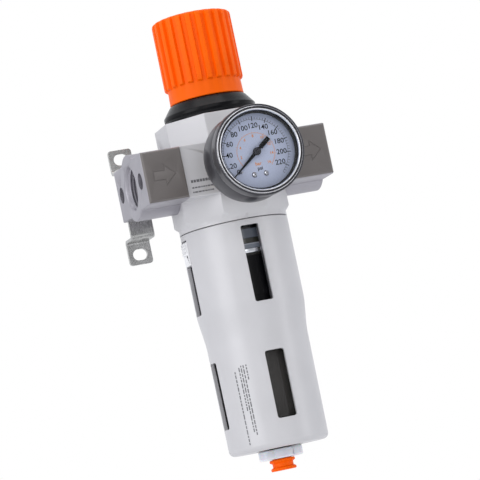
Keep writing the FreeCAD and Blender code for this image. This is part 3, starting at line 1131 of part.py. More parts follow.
def make_gears():
    back = size("gear_back")
    front = size("gear_front")
    teeth = int(size("pinion_teeth"))
    pinion = prism(tooth_points(size("pinion_pitch"), teeth, range(teeth)), back, front)
    arbor = Part.makeCylinder(size("arbor_radius"), size("arbor_front") - size("arbor_back"),
                              FreeCAD.Vector(0, 0, size("arbor_back")))
    face_front(made("pinion_shaft", pinion.fuse(arbor).removeSplitter()), "pinion_shaft")
    count = int(size("sector_teeth"))
    step = 360 / count
    first = math.ceil(size("sector_first") / step - 0.5)
    last = math.floor(size("sector_last") / step - 0.5)
    points = tooth_points(size("sector_pitch"), count, range(first, last))
    inner = size("sector_pitch") - size("sector_rim")
    start = math.radians(first * step)
    end = math.radians(last * step)
    rim = [FreeCAD.Vector(inner * math.cos(end), inner * math.sin(end), 0)]
    for share in (0.75, 0.5, 0.25):
        angle = start + (end - start) * share
        rim.append(FreeCAD.Vector(inner * math.cos(angle), inner * math.sin(angle), 0))
    rim.append(FreeCAD.Vector(inner * math.cos(start), inner * math.sin(start), 0))
    sector = prism(points + rim, back, front)
    hub = Part.makeCylinder(size("sector_hub"), front - back, FreeCAD.Vector(0, 0, back))
    middle = (start + end) / 2
    across = FreeCAD.Vector(-math.sin(middle), math.cos(middle), 0) * size("sector_arm")
    reach = FreeCAD.Vector(math.cos(middle), math.sin(middle), 0) * (inner + size("sector_bite"))
    arm = prism([across, across * -1, reach - across, reach + across], back, front)
    pivot_length = size("frame_front") + size("pivot_reach") - size("arbor_back")
    pivot = Part.makeCylinder(size("sector_pivot"), pivot_length,
                              FreeCAD.Vector(0, 0, size("arbor_back")))
    shape = sector.fuse([hub, arm, pivot]).removeSplitter()
    # the turn makes a gap of the sector face a tooth of the pinion
    seat = FreeCAD.Placement(FreeCAD.Vector(0, -gear_distance(), 0),
                             FreeCAD.Rotation(Z_WAY, quarter_phase(step)))
    face_front(made("sector_gear", shape.transformed(seat.toMatrix(), copy=True)), "sector_gear")


def gear_distance():
    """Distance between the two gear axes."""
    return size("pinion_pitch") + size("sector_pitch")


def quarter_phase(step):
    """Turn that puts a gap of the sector straight above its pivot."""
    nearest = round(90 / step)
    return 90 - (nearest - 0.5) * step


def make_movement():
    plates = []
    width = "frame_half * 2"
    height = "frame_high - frame_low"
    for level in ("frame_back", "frame_front"):
        plates.append(box(width, height, "frame_plate", "-frame_half", "frame_low", level))
    posts = []
    for way in ("-1", "1"):
        posts.append(rod("frame_post", "frame_front - frame_back", f"{way} * (frame_half - 2)",
                         "frame_low + 2", "frame_back"))
        posts.append(rod("frame_post", "frame_front - frame_back", f"{way} * (frame_half - 2)",
                         "frame_high - 2", "frame_back"))
        posts.append(rod("frame_post", "dial_back - frame_front", f"{way} * dial_screw_place",
                         "-dial_screw_drop", "frame_front"))
    holes = [rod("arbor_hole", "frame_front - frame_back + 4", "0", "0", "frame_back - 1"),
             rod("frame_hole", "frame_front - frame_back + 4", "0", "-pinion_pitch - sector_pitch",
                 "frame_back - 1")]
    for way in ("-1", "1"):
        holes.append(rod("dial_screw_shank + slip", "dial_back - frame_front + 1",
                         f"{way} * dial_screw_place", "-dial_screw_drop", "frame_front"))
    face_front(cut(joined(plates + posts), holes), "gauge_movement")


def make_socket():
    """Brass socket: thread, square flats, and the post that carries the pressure tube."""
    body = lathe_piece("gauge_socket", [
        ("bleed_radius", "socket_end"), ("socket_thread - thread_chamfer", "socket_end"),
        ("socket_thread", "socket_end + thread_chamfer"), ("socket_thread", "socket_collar_low"),
        ("socket_collar", "socket_collar_low"), ("socket_collar", "socket_square_low"),
        ("case_hole - case_hole_play", "socket_square_low"),
        ("case_hole - case_hole_play", "socket_post_low"),
        ("bleed_radius", "socket_post_low")])
    half = "socket_square / 2"
    flats = [(f"-{half}", f"-{half}"), (half, f"-{half}"), (half, half), (f"-{half}", half)]
    pad(body, outline(new_sketch(body, "XY_Plane", "socket_square_low"), flats),
        "socket_square_high - socket_square_low")
    wide = "socket_post_width / 2"
    post = [(f"-{wide}", "-socket_post_drop"), (wide, "-socket_post_drop"), (wide, wide),
            (f"-{wide}", wide)]
    pad(body, outline(new_sketch(body, "XY_Plane", "socket_post_low"), post),
        "frame_back - socket_post_low")
    face_front(body, "gauge_socket")


def make_bourdon_tube():
    body = new_body("bourdon_tube")
    low = "tube_level - tube_half_deep"
    high = "tube_level + tube_half_deep"
    turned(body, [("tube_mean - tube_half_thick", low), ("tube_mean + tube_half_thick", low),
                  ("tube_mean + tube_half_thick", high), ("tube_mean - tube_half_thick", high)],
           "tube_sweep")
    edges = []
    for number, edge in enumerate(body.Tip.Shape.Edges, start=1):
        if edge.Curve.TypeId == "Part::GeomCircle":
            edges.append(f"Edge{number}")
    rounded(body, edges, "tube_round")
    face_front(body, "bourdon_tube", size("tube_start"))


def make_washers_and_plug():
    face_front(lathe_piece("gauge_thread_seal", [
        ("tapping_radius", "washer_face"), ("washer_outer", "washer_face"),
        ("washer_outer", "socket_collar_low - slip"), ("tapping_radius", "socket_collar_low - slip")]),
        "gauge_thread_seal")
    plug = lathe_piece("rear_port_plug", [
        ("0", "plug_end"), ("socket_thread", "plug_end"), ("socket_thread", "plug_face"),
        ("plug_radius", "plug_face"), ("plug_radius", "plug_face + plug_head - plug_edge"),
        ("plug_radius - plug_edge", "plug_face + plug_head"), ("0", "plug_face + plug_head")])
    top = "plug_face + plug_head"
    pocket(plug, hexagon(new_sketch(plug, "XY_Plane", top), "plug_key"), "plug_key_depth")
    finish(plug, "rear_port_plug", FACING_BACK, "gauge_level")
    finish(lathe_piece("plug_seal", [
        ("tapping_radius", "plug_washer_face"), ("plug_radius", "plug_washer_face"),
        ("plug_radius", "plug_face - slip"), ("tapping_radius", "plug_face - slip")]),
        "plug_seal", FACING_BACK, "gauge_level")


# ---------------------------------------------------------------- the whole regulator
def build():
    make_valve_body()
    make_port_block("inlet_port_block", -1, FreeCAD.Rotation(Z_WAY, 180))
    make_port_block("outlet_port_block", 1, UPRIGHT)
    make_panel("inlet_cover_panel", "-1")
    make_panel("outlet_cover_panel", "1")
    make_port_screws()
    make_port_seals()
    make_bracket()
    make_bracket_screws()
    make_bonnet_ring()
    make_spring_bonnet()
    make_knob()
    make_adjusting_screw()
    make_thrust_washer()
    make_spring_nut()
    make_diaphragm()
    make_diaphragm_plates()
    make_valve()
    make_springs()
    make_filter()
    make_bowl()
    make_guard()
    make_catch()
    make_drain()
    make_gauge_shell()
    make_dial()
    make_pointer()
    make_gears()
    make_movement()
    make_socket()
    make_bourdon_tube()
    make_washers_and_plug()
    doc.recompute()


def check():
    """Stop before anything is written if a feature failed or a shape isn't sound."""
    for thing in doc.Objects:
        if "Invalid" in thing.State or "Error" in thing.State:
            raise ValueError(f"{thing.Label} failed: {thing.State}")
    for node, thing in SUB_PARTS:
        if thing.Shape.isNull() or not thing.Shape.isValid():
            raise ValueError(f"{node} has no sound shape")


build()
check()
os.makedirs("parts", exist_ok=True)
for node, thing in SUB_PARTS:
    thing.Shape.exportStep(f"parts/{node}.step")
    span = thing.Shape.BoundBox
    print(f"{node:24s} {len(thing.Shape.Solids)} solid(s)  {thing.Shape.Volume:10.1f} mm3  "
          f"{span.XLength:6.1f} x {span.YLength:6.1f} x {span.ZLength:6.1f}")
print(len(SUB_PARTS), "pieces")
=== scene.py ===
# %% [markdown]
# A filter regulator for compressed air: a cast body between two port blocks, an orange knob
# on top, a dial gauge in front and a guarded bowl below.  The design already exists as CAD,
# so this lesson only gives it its looks.  Many shapes are right as they come and just need a
# finish.  The pieces that catch the eye are copied and softened, or turned and extruded anew.

# %% Load the frame
import bmesh
import bpy
import math
import random
from mathutils import Matrix, Vector


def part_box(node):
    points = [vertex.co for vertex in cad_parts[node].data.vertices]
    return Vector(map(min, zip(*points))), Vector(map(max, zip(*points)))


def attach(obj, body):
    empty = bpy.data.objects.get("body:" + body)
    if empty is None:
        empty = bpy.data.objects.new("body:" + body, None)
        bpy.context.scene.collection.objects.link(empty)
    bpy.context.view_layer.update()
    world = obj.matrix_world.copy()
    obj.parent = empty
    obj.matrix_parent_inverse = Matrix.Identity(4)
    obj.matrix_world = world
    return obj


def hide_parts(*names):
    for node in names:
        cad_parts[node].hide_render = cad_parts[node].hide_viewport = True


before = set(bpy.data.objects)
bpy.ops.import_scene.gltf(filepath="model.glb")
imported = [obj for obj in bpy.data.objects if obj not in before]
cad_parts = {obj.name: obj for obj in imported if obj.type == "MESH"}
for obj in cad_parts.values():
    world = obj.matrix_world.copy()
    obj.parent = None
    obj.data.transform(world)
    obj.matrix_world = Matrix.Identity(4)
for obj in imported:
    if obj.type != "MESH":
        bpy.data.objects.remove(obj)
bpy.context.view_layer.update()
MM = 0.001
print("CAD nodes:", len(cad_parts))

# %% [markdown]
# Every place below is worked out from the CAD pieces.  The upright axis runs through the
# middle of the diaphragm, and the gauge's axis through the middle of its window.  A round
# piece is drawn about the world's Z at the origin and then stood on one of those two axes.

# %% Axes of the object
def middle(node):
    """The centre of a CAD piece's box."""
    low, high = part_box(node)
    return (low + high) / 2


def heights(node):
    """The lowest and highest point of a CAD piece, in millimetres."""
    low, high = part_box(node)
    return low.z / MM, high.z / MM


upright = Matrix.Translation((middle("diaphragm").x, 0, 0))
gauge_middle = middle("gauge_window")
FRONT = Matrix.Rotation(math.radians(90), 4, "X")
gauge_axis = Matrix.Translation((gauge_middle.x, 0, gauge_middle.z)) @ FRONT
print("gauge axis at x", round(gauge_middle.x, 4), "z", round(gauge_middle.z, 4))


# %% [markdown]
# A finish is a Principled shader fed by two noises.  The wide noise drifts the colour and the
# gloss a little, as paint and castings do, and the fine one is the grain, sent to a Bump node.
# One helper makes them all, so each finish is a line of plain numbers.

# %% Finish helper
def finish(name, colour, metal=0.0, rough=0.4, drift=0.06, grain=1500, depth=0.03, coat=0.0,
           spread=0.08, stretch=(1, 1, 1), wide=45, gleam=0.5):
    """A node material: colour and its drift, roughness and its spread, grain and depth."""
    made = bpy.data.materials.new(name)
    made.use_nodes = True
    nodes = made.node_tree.nodes
    links = made.node_tree.links
    shader = nodes["Principled BSDF"]
    place = nodes.new("ShaderNodeTexCoord")
    aim = nodes.new("ShaderNodeMapping")
    aim.inputs["Scale"].default_value = stretch
    links.new(place.outputs["Object"], aim.inputs["Vector"])
    cloud = nodes.new("ShaderNodeTexNoise")
    cloud.inputs["Scale"].default_value = wide
    cloud.inputs["Detail"].default_value = 3
    links.new(place.outputs["Object"], cloud.inputs["Vector"])
    shades = nodes.new("ShaderNodeValToRGB")
    shades.color_ramp.elements[0].position = 0.3
    shades.color_ramp.elements[1].position = 0.7
    shades.color_ramp.elements[0].color = [c * (1 - drift) for c in colour] + [1]
    shades.color_ramp.elements[1].color = [min(1, c * (1 + drift)) for c in colour] + [1]
    links.new(cloud.outputs["Fac"], shades.inputs["Fac"])
    links.new(shades.outputs["Color"], shader.inputs["Base Color"])
    fine = nodes.new("ShaderNodeTexNoise")
    fine.inputs["Scale"].default_value = grain
    fine.inputs["Detail"].default_value = 2
    links.new(aim.outputs["Vector"], fine.inputs["Vector"])
    gloss = nodes.new("ShaderNodeMapRange")
    gloss.inputs["To Min"].default_value = max(0.02, rough - spread)
    gloss.inputs["To Max"].default_value = min(1, rough + spread)
    links.new(fine.outputs["Fac"], gloss.inputs["Value"])
    links.new(gloss.outputs["Result"], shader.inputs["Roughness"])
    bump = nodes.new("ShaderNodeBump")
    bump.inputs["Strength"].default_value = 0.35
    bump.inputs["Distance"].default_value = depth * MM
    links.new(fine.outputs["Fac"], bump.inputs["Height"])
    links.new(bump.outputs["Normal"], shader.inputs["Normal"])
    shader.inputs["Metallic"].default_value = metal
    shader.inputs["Coat Weight"].default_value = coat
    shader.inputs["Specular IOR Level"].default_value = gleam
    return made


# %% [markdown]
# The body and the guard share a pearly silver-white paint: mostly pigment, with a little
# metal in it and a thin clear coat.  The port blocks are bare blasted castings.  Turned and
# rolled metals get a grain stretched along one axis, which reads as tool marks.

# %% Metals and paints
paint = finish("silver_white_paint", (0.545, 0.54, 0.56), metal=0.18, rough=0.42, drift=0.025,
               grain=2600, depth=0.02, coat=0.15)
casting = finish("blasted_casting", (0.36, 0.35, 0.385), metal=0.80, rough=0.42, drift=0.06,
                 grain=1800, depth=0.05)
zinc = finish("zinc_plate", (0.46, 0.46, 0.45), metal=0.97, rough=0.26, drift=0.16, grain=700,
              depth=0.02, stretch=(1, 1, 0.15), wide=110)
steel = finish("bright_steel", (0.50, 0.50, 0.52), metal=1.0, rough=0.30, grain=900,
               stretch=(1, 1, 6))
spring_wire = finish("oiled_spring_wire", (0.28, 0.28, 0.30), metal=1.0, rough=0.28, grain=1200)
chrome = finish("polished_chrome", (0.80, 0.80, 0.83), metal=1.0, rough=0.08, drift=0.02,
                grain=400, depth=0.004, spread=0.03)
bright_ring = finish("bright_turned_ring", (0.85, 0.87, 0.92), metal=0.9, rough=0.18,
                     drift=0.04, grain=500, stretch=(1, 1, 8))
brass = finish("turned_brass", (0.72, 0.50, 0.20), metal=1.0, rough=0.28, drift=0.08, grain=700,
               stretch=(1, 1, 6))
case_paint = finish("dark_case_paint", (0.030, 0.029, 0.036), metal=0.35, rough=0.32,
                    drift=0.05, grain=2200, depth=0.02, coat=0.15)
black_paint = finish("matt_black_paint", (0.003, 0.003, 0.003), rough=0.55, gleam=0.15)

# %% [markdown]
# Moulded pieces: the orange is strong and a little glossy, the black satin, and the covers
# over the port blocks a warm grey with a fine spark-eroded texture.

# %% Plastics, rubber and filter
orange = finish("orange_moulding", (0.95, 0.125, 0.0), rough=0.42, drift=0.04, grain=2200,
                depth=0.015, gleam=0.12)
black_plastic = finish("black_moulding", (0.003, 0.003, 0.004), rough=0.24, drift=0.15,
                       grain=2400, depth=0.02, gleam=0.16)
cover_grey = finish("warm_grey_moulding", (0.135, 0.122, 0.118), rough=0.42, drift=0.05,
                    grain=3200, depth=0.05)
white_plastic = finish("white_moulding", (0.78, 0.78, 0.80), rough=0.32, drift=0.02, grain=1800,
                       depth=0.01)
milky = finish("milky_moulding", (0.74, 0.76, 0.82), rough=0.30, drift=0.04, grain=600,
               depth=0.02)
rubber = finish("nitrile_rubber", (0.012, 0.012, 0.013), rough=0.55, drift=0.2, grain=1300,
                depth=0.04)
sinter = finish("sintered_filter", (0.86, 0.84, 0.78), rough=0.85, drift=0.08, grain=1400,
                depth=0.25)
dial_white = finish("dial_enamel", (0.57, 0.61, 0.75), rough=0.45, drift=0.012, grain=900,
                    depth=0.003, gleam=0.2)
ink = finish("black_print", (0.004, 0.004, 0.005), rough=0.6, drift=0.1, grain=900,
             depth=0.002, gleam=0.1)
orange_ink = finish("orange_print", (0.80, 0.30, 0.06), rough=0.6, drift=0.1, grain=900,
                    depth=0.002, gleam=0.1)
grey_ink = finish("grey_print", (0.13, 0.13, 0.14), rough=0.45, drift=0.25, grain=900,
                  depth=0.002)
milky.node_tree.nodes["Principled BSDF"].inputs["Subsurface Weight"].default_value = 0.25
milky.node_tree.nodes["Principled BSDF"].inputs["Subsurface Scale"].default_value = 2 * MM


# %% [markdown]
# The gauge's window and the bowl are clear.  A real sheet of glass lets the lamps through, so
# each is a Transparent shader mixed with a gloss by Fresnel, which keeps what is behind it
# evenly lit.  The bowl darkens what passes by half and adds a dark charcoal body colour.

# %% Clear finishes
def clear(name, passes, body_colour, body_share, rough, bends):
    """A see-through wall: tint of what passes, own colour and share, roughness and IOR."""
    made = bpy.data.materials.new(name)
    made.use_nodes = True
    nodes = made.node_tree.nodes
    links = made.node_tree.links
    shader = nodes["Principled BSDF"]
    shader.inputs["Base Color"].default_value = (*body_colour, 1)
    shader.inputs["Roughness"].default_value = rough
    through = nodes.new("ShaderNodeBsdfTransparent")
    through.inputs["Color"].default_value = (*passes, 1)
    place = nodes.new("ShaderNodeTexCoord")
    smear = nodes.new("ShaderNodeTexNoise")
    smear.inputs["Scale"].default_value = 60
    links.new(place.outputs["Object"], smear.inputs["Vector"])
    share = nodes.new("ShaderNodeMapRange")
    share.inputs["To Min"].default_value = body_share * 0.85
    share.inputs["To Max"].default_value = body_share * 1.15
    links.new(smear.outputs["Fac"], share.inputs["Value"])
    edge = nodes.new("ShaderNodeFresnel")
    edge.inputs["IOR"].default_value = bends
    total = nodes.new("ShaderNodeMath")
    total.operation = "ADD"
    total.use_clamp = True
    links.new(edge.outputs["Fac"], total.inputs[0])
    links.new(share.outputs["Result"], total.inputs[1])
    mix = nodes.new("ShaderNodeMixShader")
    links.new(total.outputs["Value"], mix.inputs["Fac"])
    links.new(through.outputs["BSDF"], mix.inputs[1])
    links.new(shader.outputs["BSDF"], mix.inputs[2])
    links.new(mix.outputs["Shader"], nodes["Material Output"].inputs["Surface"])
    return made


window_glass = clear("window_glass", (0.985, 0.99, 1.0), (0.9, 0.95, 1.0), 0.0, 0.03, 1.18)
charcoal_clear = clear("charcoal_bowl", (0.50, 0.50, 0.50), (0.085, 0.080, 0.076), 0.62, 0.16, 1.3)


# %% [markdown]
# The guard's inside is painted near-black: painted shade, so that its slots read as deep.

# %% Painted shade inside the guard
painted_shade_inside = finish("painted_shade_inside", (0.022, 0.022, 0.024), rough=0.5, drift=0.2, grain=900,
                     gleam=0.2)

# %% [markdown]
# Every CAD node gets its finish from this list, including the pieces that nobody sees until
# the regulator is taken apart.

# %% Dress the CAD nodes
FINISHES = {
    paint: ["valve_body", "bowl_guard"],
    casting: ["inlet_port_block", "outlet_port_block"],
    cover_grey: ["inlet_cover_panel", "outlet_cover_panel"],
    zinc: ["wall_bracket", "bracket_screws", "diaphragm_top_plate"],
    steel: ["port_block_screws", "adjusting_screw", "thrust_washer", "valve_stem",
            "gauge_stop_pin", "pinion_shaft"],
    spring_wire: ["main_spring", "valve_spring", "lock_spring"],
    brass: ["spring_nut", "diaphragm_bottom_plate", "valve_seat_ring", "valve_poppet",
            "sector_gear", "gauge_movement", "gauge_socket", "bourdon_tube", "rear_port_plug"],
    orange: ["adjusting_knob", "drain_knob"],
    black_plastic: ["bonnet_ring", "spring_bonnet", "valve_guide", "swirl_deflector",
                    "filter_baffle", "bowl_liner", "drain_stem"],
    rubber: ["port_seals", "diaphragm", "poppet_seal", "bowl_seal_ring", "drain_seal_ring",
             "gauge_gasket", "gauge_thread_seal", "plug_seal"],
    sinter: ["filter_element"],
    charcoal_clear: ["filter_bowl"],
    bright_ring: ["bowl_top_ring"],
    white_plastic: ["bowl_lock_slide"],
    milky: ["drain_collar"],
    case_paint: ["gauge_case"],
    chrome: ["gauge_bezel", "gauge_dial_screws"],
    window_glass: ["gauge_window"],
    dial_white: ["gauge_dial"],
    black_paint: ["gauge_pointer"],
}
for coat_of, names in FINISHES.items():
    for name in names:
        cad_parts[name].data.materials.clear()
        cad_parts[name].data.materials.append(coat_of)
dressed = {name for names in FINISHES.values() for name in names}
print("undressed:", sorted(set(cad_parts) - dressed))


# %% [markdown]
# Real edges are never perfectly sharp: a thin bright line runs along each one where it
# catches the light.  A copy of the CAD mesh is welded, its flat areas are joined again into
# whole faces, and a Bevel modifier rounds its sharp edges.  On a casting with round holes only
# the long edges are marked for it, because a hole's rim is made of many short ones.

# %% Softened copies
def smooth(mesh, angle=35):
    """Smooth shading that keeps edges over the angle sharp."""
    mesh.shade_smooth()
    mesh.set_sharp_from_angle(angle=math.radians(angle))


def settle(name, bm, body, materials, replaced=(), place=None, angle=35):
    """Turns a bmesh into a piece that rides on a body, with its place in its mesh."""
    if place is not None:
        bm.transform(place)
    mesh = bpy.data.meshes.new(name)
    bm.to_mesh(mesh)
    bm.free()
    for material in materials:
        mesh.materials.append(material)
    smooth(mesh, angle)
    piece = bpy.data.objects.new(name, mesh)
    bpy.context.scene.collection.objects.link(piece)
    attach(piece, body)
    if replaced:
        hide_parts(*replaced)
    return piece


def add_bevel(piece, width, segments=3, angle=28, by="ANGLE"):
    """A Bevel modifier over the piece's sharp edges, or over its weighted ones."""
    bevel = piece.modifiers.new("edges", "BEVEL")
    bevel.width = width * MM
    bevel.segments = segments
    bevel.limit_method = by
    bevel.angle_limit = math.radians(angle)
    bevel.use_clamp_overlap = False
    bevel.harden_normals = True
    bevel.miter_outer = "MITER_ARC"
    return piece


def softened(node, body, width, material, segments=3, longer=0):
    """A welded, bevelled copy that stands for a CAD node; longer picks edges by length in mm."""
    bm = bmesh.new()
    bm.from_mesh(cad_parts[node].data)
    bmesh.ops.remove_doubles(bm, verts=bm.verts, dist=0.002 * MM)
    bmesh.ops.dissolve_limit(bm, angle_limit=math.radians(0.4), verts=bm.verts, edges=bm.edges)
    weight = bm.edges.layers.float.new("bevel_weight_edge")
    for edge in bm.edges:
        if len(edge.link_faces) == 2 and edge.calc_length() > longer * MM:
            edge[weight] = 1.0 if edge.calc_face_angle() > math.radians(28) else 0.0
    for face in bm.faces:
        face.material_index = 0
    piece = settle(node + "_shell", bm, body, [material], replaced=[node])
    return add_bevel(piece, width, segments, by="WEIGHT" if longer else "ANGLE")


softened("valve_body", "housing", 0.45, paint, longer=6)
softened("inlet_port_block", "housing", 0.3, casting, longer=6)
softened("outlet_port_block", "housing", 0.3, casting, longer=6)
softened("wall_bracket", "housing", 0.25, zinc, 2)
softened("bonnet_ring", "housing", 0.4, black_plastic)
softened("bowl_lock_slide", "bowl_lock", 0.3, white_plastic)
softened("drain_collar", "bowl", 0.5, milky)


# %% [markdown]
# Round pieces are spun: an open line of vertices is turned once about Z and its ends are
# merged.  After a spin the normals can point inwards, so they are worked out again.

# %% Lathe helper
def spun(line, steps=96):
    """A closed surface of revolution about Z from (radius, height) points in millimetres."""
    bm = bmesh.new()
    verts = [bm.verts.new((radius * MM, 0, height * MM)) for radius, height in line]
    edges = [bm.edges.new(pair) for pair in zip(verts, verts[1:])]
    bmesh.ops.spin(bm, geom=verts + edges, cent=(0, 0, 0), axis=(0, 0, 1),
                   angle=math.tau, steps=steps, use_merge=True)
    bmesh.ops.remove_doubles(bm, verts=bm.verts, dist=0.001 * MM)
    bmesh.ops.recalc_face_normals(bm, faces=bm.faces)
    return bm


def bead(middle_radius, middle_height, size, first, last, count=6):
    """Points along an arc of a round bead, from one angle in degrees to another."""
    points = []
    for number in range(count + 1):
        turn = math.radians(first + (last - first) * number / count)
        points.append((middle_radius + size * math.cos(turn),
                       middle_height + size * math.sin(turn)))
    return points


# %% [markdown]
# The knob is one moulding with 24 grip ribs over a plain skirt.  A ring of vertices is pushed
# out where the ribs are, and the ring's edges are extruded up from level to level; each level
# says how far its ribs stand out.  Inside are the bore and a round socket for the screw.

# %% Adjusting knob
RIB_COUNT = 24
STEPS_PER_RIB = 20
knob_low, knob_high = heights("adjusting_knob")
knob_reach = (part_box("adjusting_knob")[1].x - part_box("adjusting_knob")[0].x) / 2 / MM
RIB_HEIGHT = 1.85
HALF_RIB = 2.10
RIB_SLOPE = 0.75
root = knob_reach - RIB_HEIGHT
PHASE = math.radians(-5.6)
BORE = 18.9
BOSS = 10.5
SOCKET = 9.1


def rib_share(turn):
    """How far a rib stands out at an angle about the axis, from 0 to 1."""
    pitch = math.tau / RIB_COUNT
    away = abs((turn - PHASE + pitch / 2) % pitch - pitch / 2) * knob_reach
    share = min(1, max(0, (HALF_RIB - away) / RIB_SLOPE))
    return share * share * (3 - 2 * share)


rib_foot = knob_low + 9.2
top = knob_high - 1
LEVELS = [
    (knob_low + 0.5, root - 0.25, 0), (knob_low + 0.15, root - 0.1, 0),
    (knob_low + 0.6, root + 0.25, 0), (rib_foot - 0.6, root, 0), (rib_foot, root, 0.12),
    (rib_foot + 0.35, root, 0.6),
    (rib_foot + 0.9, root, 0.92), (rib_foot + 1.6, root, 1), (top - 3.2, root, 1),
    (top - 2.0, root, 0.97), (top - 1.2, root - 0.05, 0.8), (top - 0.55, root - 0.35, 0.5),
    (top - 0.15, root - 0.9, 0.2), (top, root - 1.8, 0),
]
bm = bmesh.new()
made = bmesh.ops.create_circle(bm, segments=RIB_COUNT * STEPS_PER_RIB, radius=1 * MM)
ring_edges = list(bm.edges)
first_ring = None
for number, (height, radius, share) in enumerate(LEVELS):
    if number:
        grown = bmesh.ops.extrude_edge_only(bm, edges=ring_edges)["geom"]
        ring_edges = [g for g in grown if isinstance(g, bmesh.types.BMEdge)]
    for vert in {v for edge in ring_edges for v in edge.verts}:
        turn = math.atan2(vert.co.y, vert.co.x)
        reach = (radius + RIB_HEIGHT * share * rib_share(turn)) * MM
        vert.co = (reach * math.cos(turn), reach * math.sin(turn), height * MM)
    if number == 0:
        first_ring = list(ring_edges)


def rings_inwards(bm, edges, steps):
    """Extrudes a ring of edges through (radius, height) steps and closes the last one."""
    for radius, height in steps:
        grown = bmesh.ops.extrude_edge_only(bm, edges=edges)["geom"]
        edges = [g for g in grown if isinstance(g, bmesh.types.BMEdge)]
        for vert in {v for edge in edges for v in edge.verts}:
            turn = math.atan2(vert.co.y, vert.co.x)
            vert.co = (radius * MM * math.cos(turn), radius * MM * math.sin(turn), height * MM)
    bmesh.ops.contextual_create(bm, geom=edges)


rings_inwards(bm, ring_edges, [
    (root - 3.0, top - 0.05), (root - 3.5, top - 0.45), (root - 4.0, top - 0.5),
    (root - 7, top - 0.25), (root / 3, top + 0.35), (1, top + 0.6)])
rings_inwards(bm, first_ring, [
    (BORE, knob_low + 0.6), (BORE, top - 5.5), (BOSS, top - 5.5), (BOSS, top - 9.1),
    (SOCKET, top - 9.1), (SOCKET, top - 2.1), (1, top - 2.1)])
bmesh.ops.recalc_face_normals(bm, faces=bm.faces)
settle("knob_moulding", bm, "knob", [orange], ["adjusting_knob"], upright)
print("knob ribs:", RIB_COUNT)

# %% [markdown]
# The gauge's case is a deep drawn steel can, and the bezel is a thin chromed ring rolled over
# its rim: an outer bead, a groove and an inner bead that slopes down to the window.  Both are
# spun from short lines; the beads are arcs.  The outer side is dark like the case, and the
# groove is painted dark as painted shade, so the chrome reads as two thin lines.

# %% Gauge case and bezel
def gauge_heights(node):
    """How far in front of the axis a gauge piece starts and ends, in millimetres."""
    low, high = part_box(node)
    return -high.y / MM, -low.y / MM


case_back, case_front = gauge_heights("gauge_case")
bezel_back, bezel_front = gauge_heights("gauge_bezel")
bezel_radius = (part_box("gauge_bezel")[1].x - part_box("gauge_bezel")[0].x) / 2 / MM
case_radius = bezel_radius - 0.45
CASE_HOLE = 7.1
CASE_ROUND = 4
WALL = 1.2
NECK_RADIUS = 25.8
case_line = [(CASE_HOLE, case_back), (case_radius - CASE_ROUND, case_back)]
case_line += bead(case_radius - CASE_ROUND, case_back + CASE_ROUND, CASE_ROUND, -90, 0, 8)
case_line += [(case_radius, bezel_back - 0.5), (case_radius - 0.25, bezel_back - 0.15),
              (case_radius - 0.6, bezel_back), (NECK_RADIUS, bezel_back),
              (NECK_RADIUS, case_front), (NECK_RADIUS - WALL, case_front),
              (NECK_RADIUS - WALL, case_back + WALL), (CASE_HOLE, case_back + WALL),
              (CASE_HOLE, case_back)]
settle("case_can", spun(case_line, 128), "housing", [case_paint], ["gauge_case"],
       gauge_axis, 40)

rim = bezel_front
BEZEL_INSIDE = 25.95
BEZEL_OPENING = 23.2
bezel_line = [(BEZEL_INSIDE, bezel_back), (bezel_radius - 0.3, bezel_back)]
bezel_line += bead(bezel_radius - 0.3, bezel_back + 0.3, 0.3, -90, 0, 3)
bezel_line += bead(bezel_radius - 0.8, rim - 1.5, 0.8, 0, 90, 5)
bezel_line += bead(bezel_radius - 1.15, rim - 0.9, 0.2, -60, -120, 3)
bezel_line += bead(bezel_radius - 1.75, rim - 0.45, 0.45, 180, 0, 6)[::-1]
bezel_line += bead(bezel_radius - 2.4, rim - 0.75, 0.2, -60, -120, 3)
bezel_line += bead(bezel_radius - 2.95, rim - 0.5, 0.4, 0, 180, 6)
bezel_line += [(BEZEL_OPENING, rim - 1.0), (BEZEL_OPENING, rim - 1.55),
               (BEZEL_INSIDE, rim - 1.55), (BEZEL_INSIDE, bezel_back)]
OUTER_DARK = 1.15
GROOVE_OUTSIDE = 1.55
GROOVE_INSIDE = 2.75
bezel = spun(bezel_line, 160)
# The groove takes the dark case finish as painted shade; the outer side is case-coloured.
for face in bezel.faces:
    side = face.calc_center_median()
    reach = math.hypot(side.x, side.y) / MM
    on_side = reach > bezel_radius - OUTER_DARK
    in_shaded_groove = bezel_radius - GROOVE_INSIDE < reach < bezel_radius - GROOVE_OUTSIDE
    face.material_index = 1 if on_side or in_shaded_groove or side.z / MM < rim - 1.3 else 0
settle("bezel_ring", bezel, "housing", [chrome, case_paint], ["gauge_bezel"],
       gauge_axis, 50)

# %% [markdown]
# A black ring of seal shows between the chrome and the dial.

# %% Seal ring in the window
gasket_back, gasket_front = gauge_heights("gauge_gasket")
SEAL_OPENING = 22.0
gasket_line = [(SEAL_OPENING, gasket_back), (25.4, gasket_back), (25.4, gasket_front)]
gasket_line += bead(SEAL_OPENING + 0.4, gasket_front - 0.4, 0.4, 90, 180, 4)
gasket_line += [(SEAL_OPENING, gasket_back)]
settle("window_seal", spun(gasket_line, 128), "housing", [rubber],
       ["gauge_gasket"], gauge_axis, 40)


# %% [markdown]
# The dial is printed.  Each mark is a thin slab of ink a few hundredths of a millimetre
# thick, so it stays crisp at any distance and survives export.  The outer scale is in psi and
# the inner one in bar; both end at 232 psi or 16 bar.  The first 20 psi are squeezed, because
# the stop pin holds the pointer a little above where an even scale would start.

# %% Dial helpers
SWEEP = 270
START = -128.5
FULL_PSI = 232
KNEE = 20 / FULL_PSI
FULL_BAR = 16
dial_face = gauge_heights("gauge_dial")[1]
INK = 0.04


def dial_turn(share):
    """The angle of a share of full scale, clockwise from straight up, in radians."""
    even = -SWEEP / 2 + SWEEP * share
    if share < KNEE:
        even = START + (-SWEEP / 2 + SWEEP * KNEE - START) * share / KNEE
    return math.radians(even)


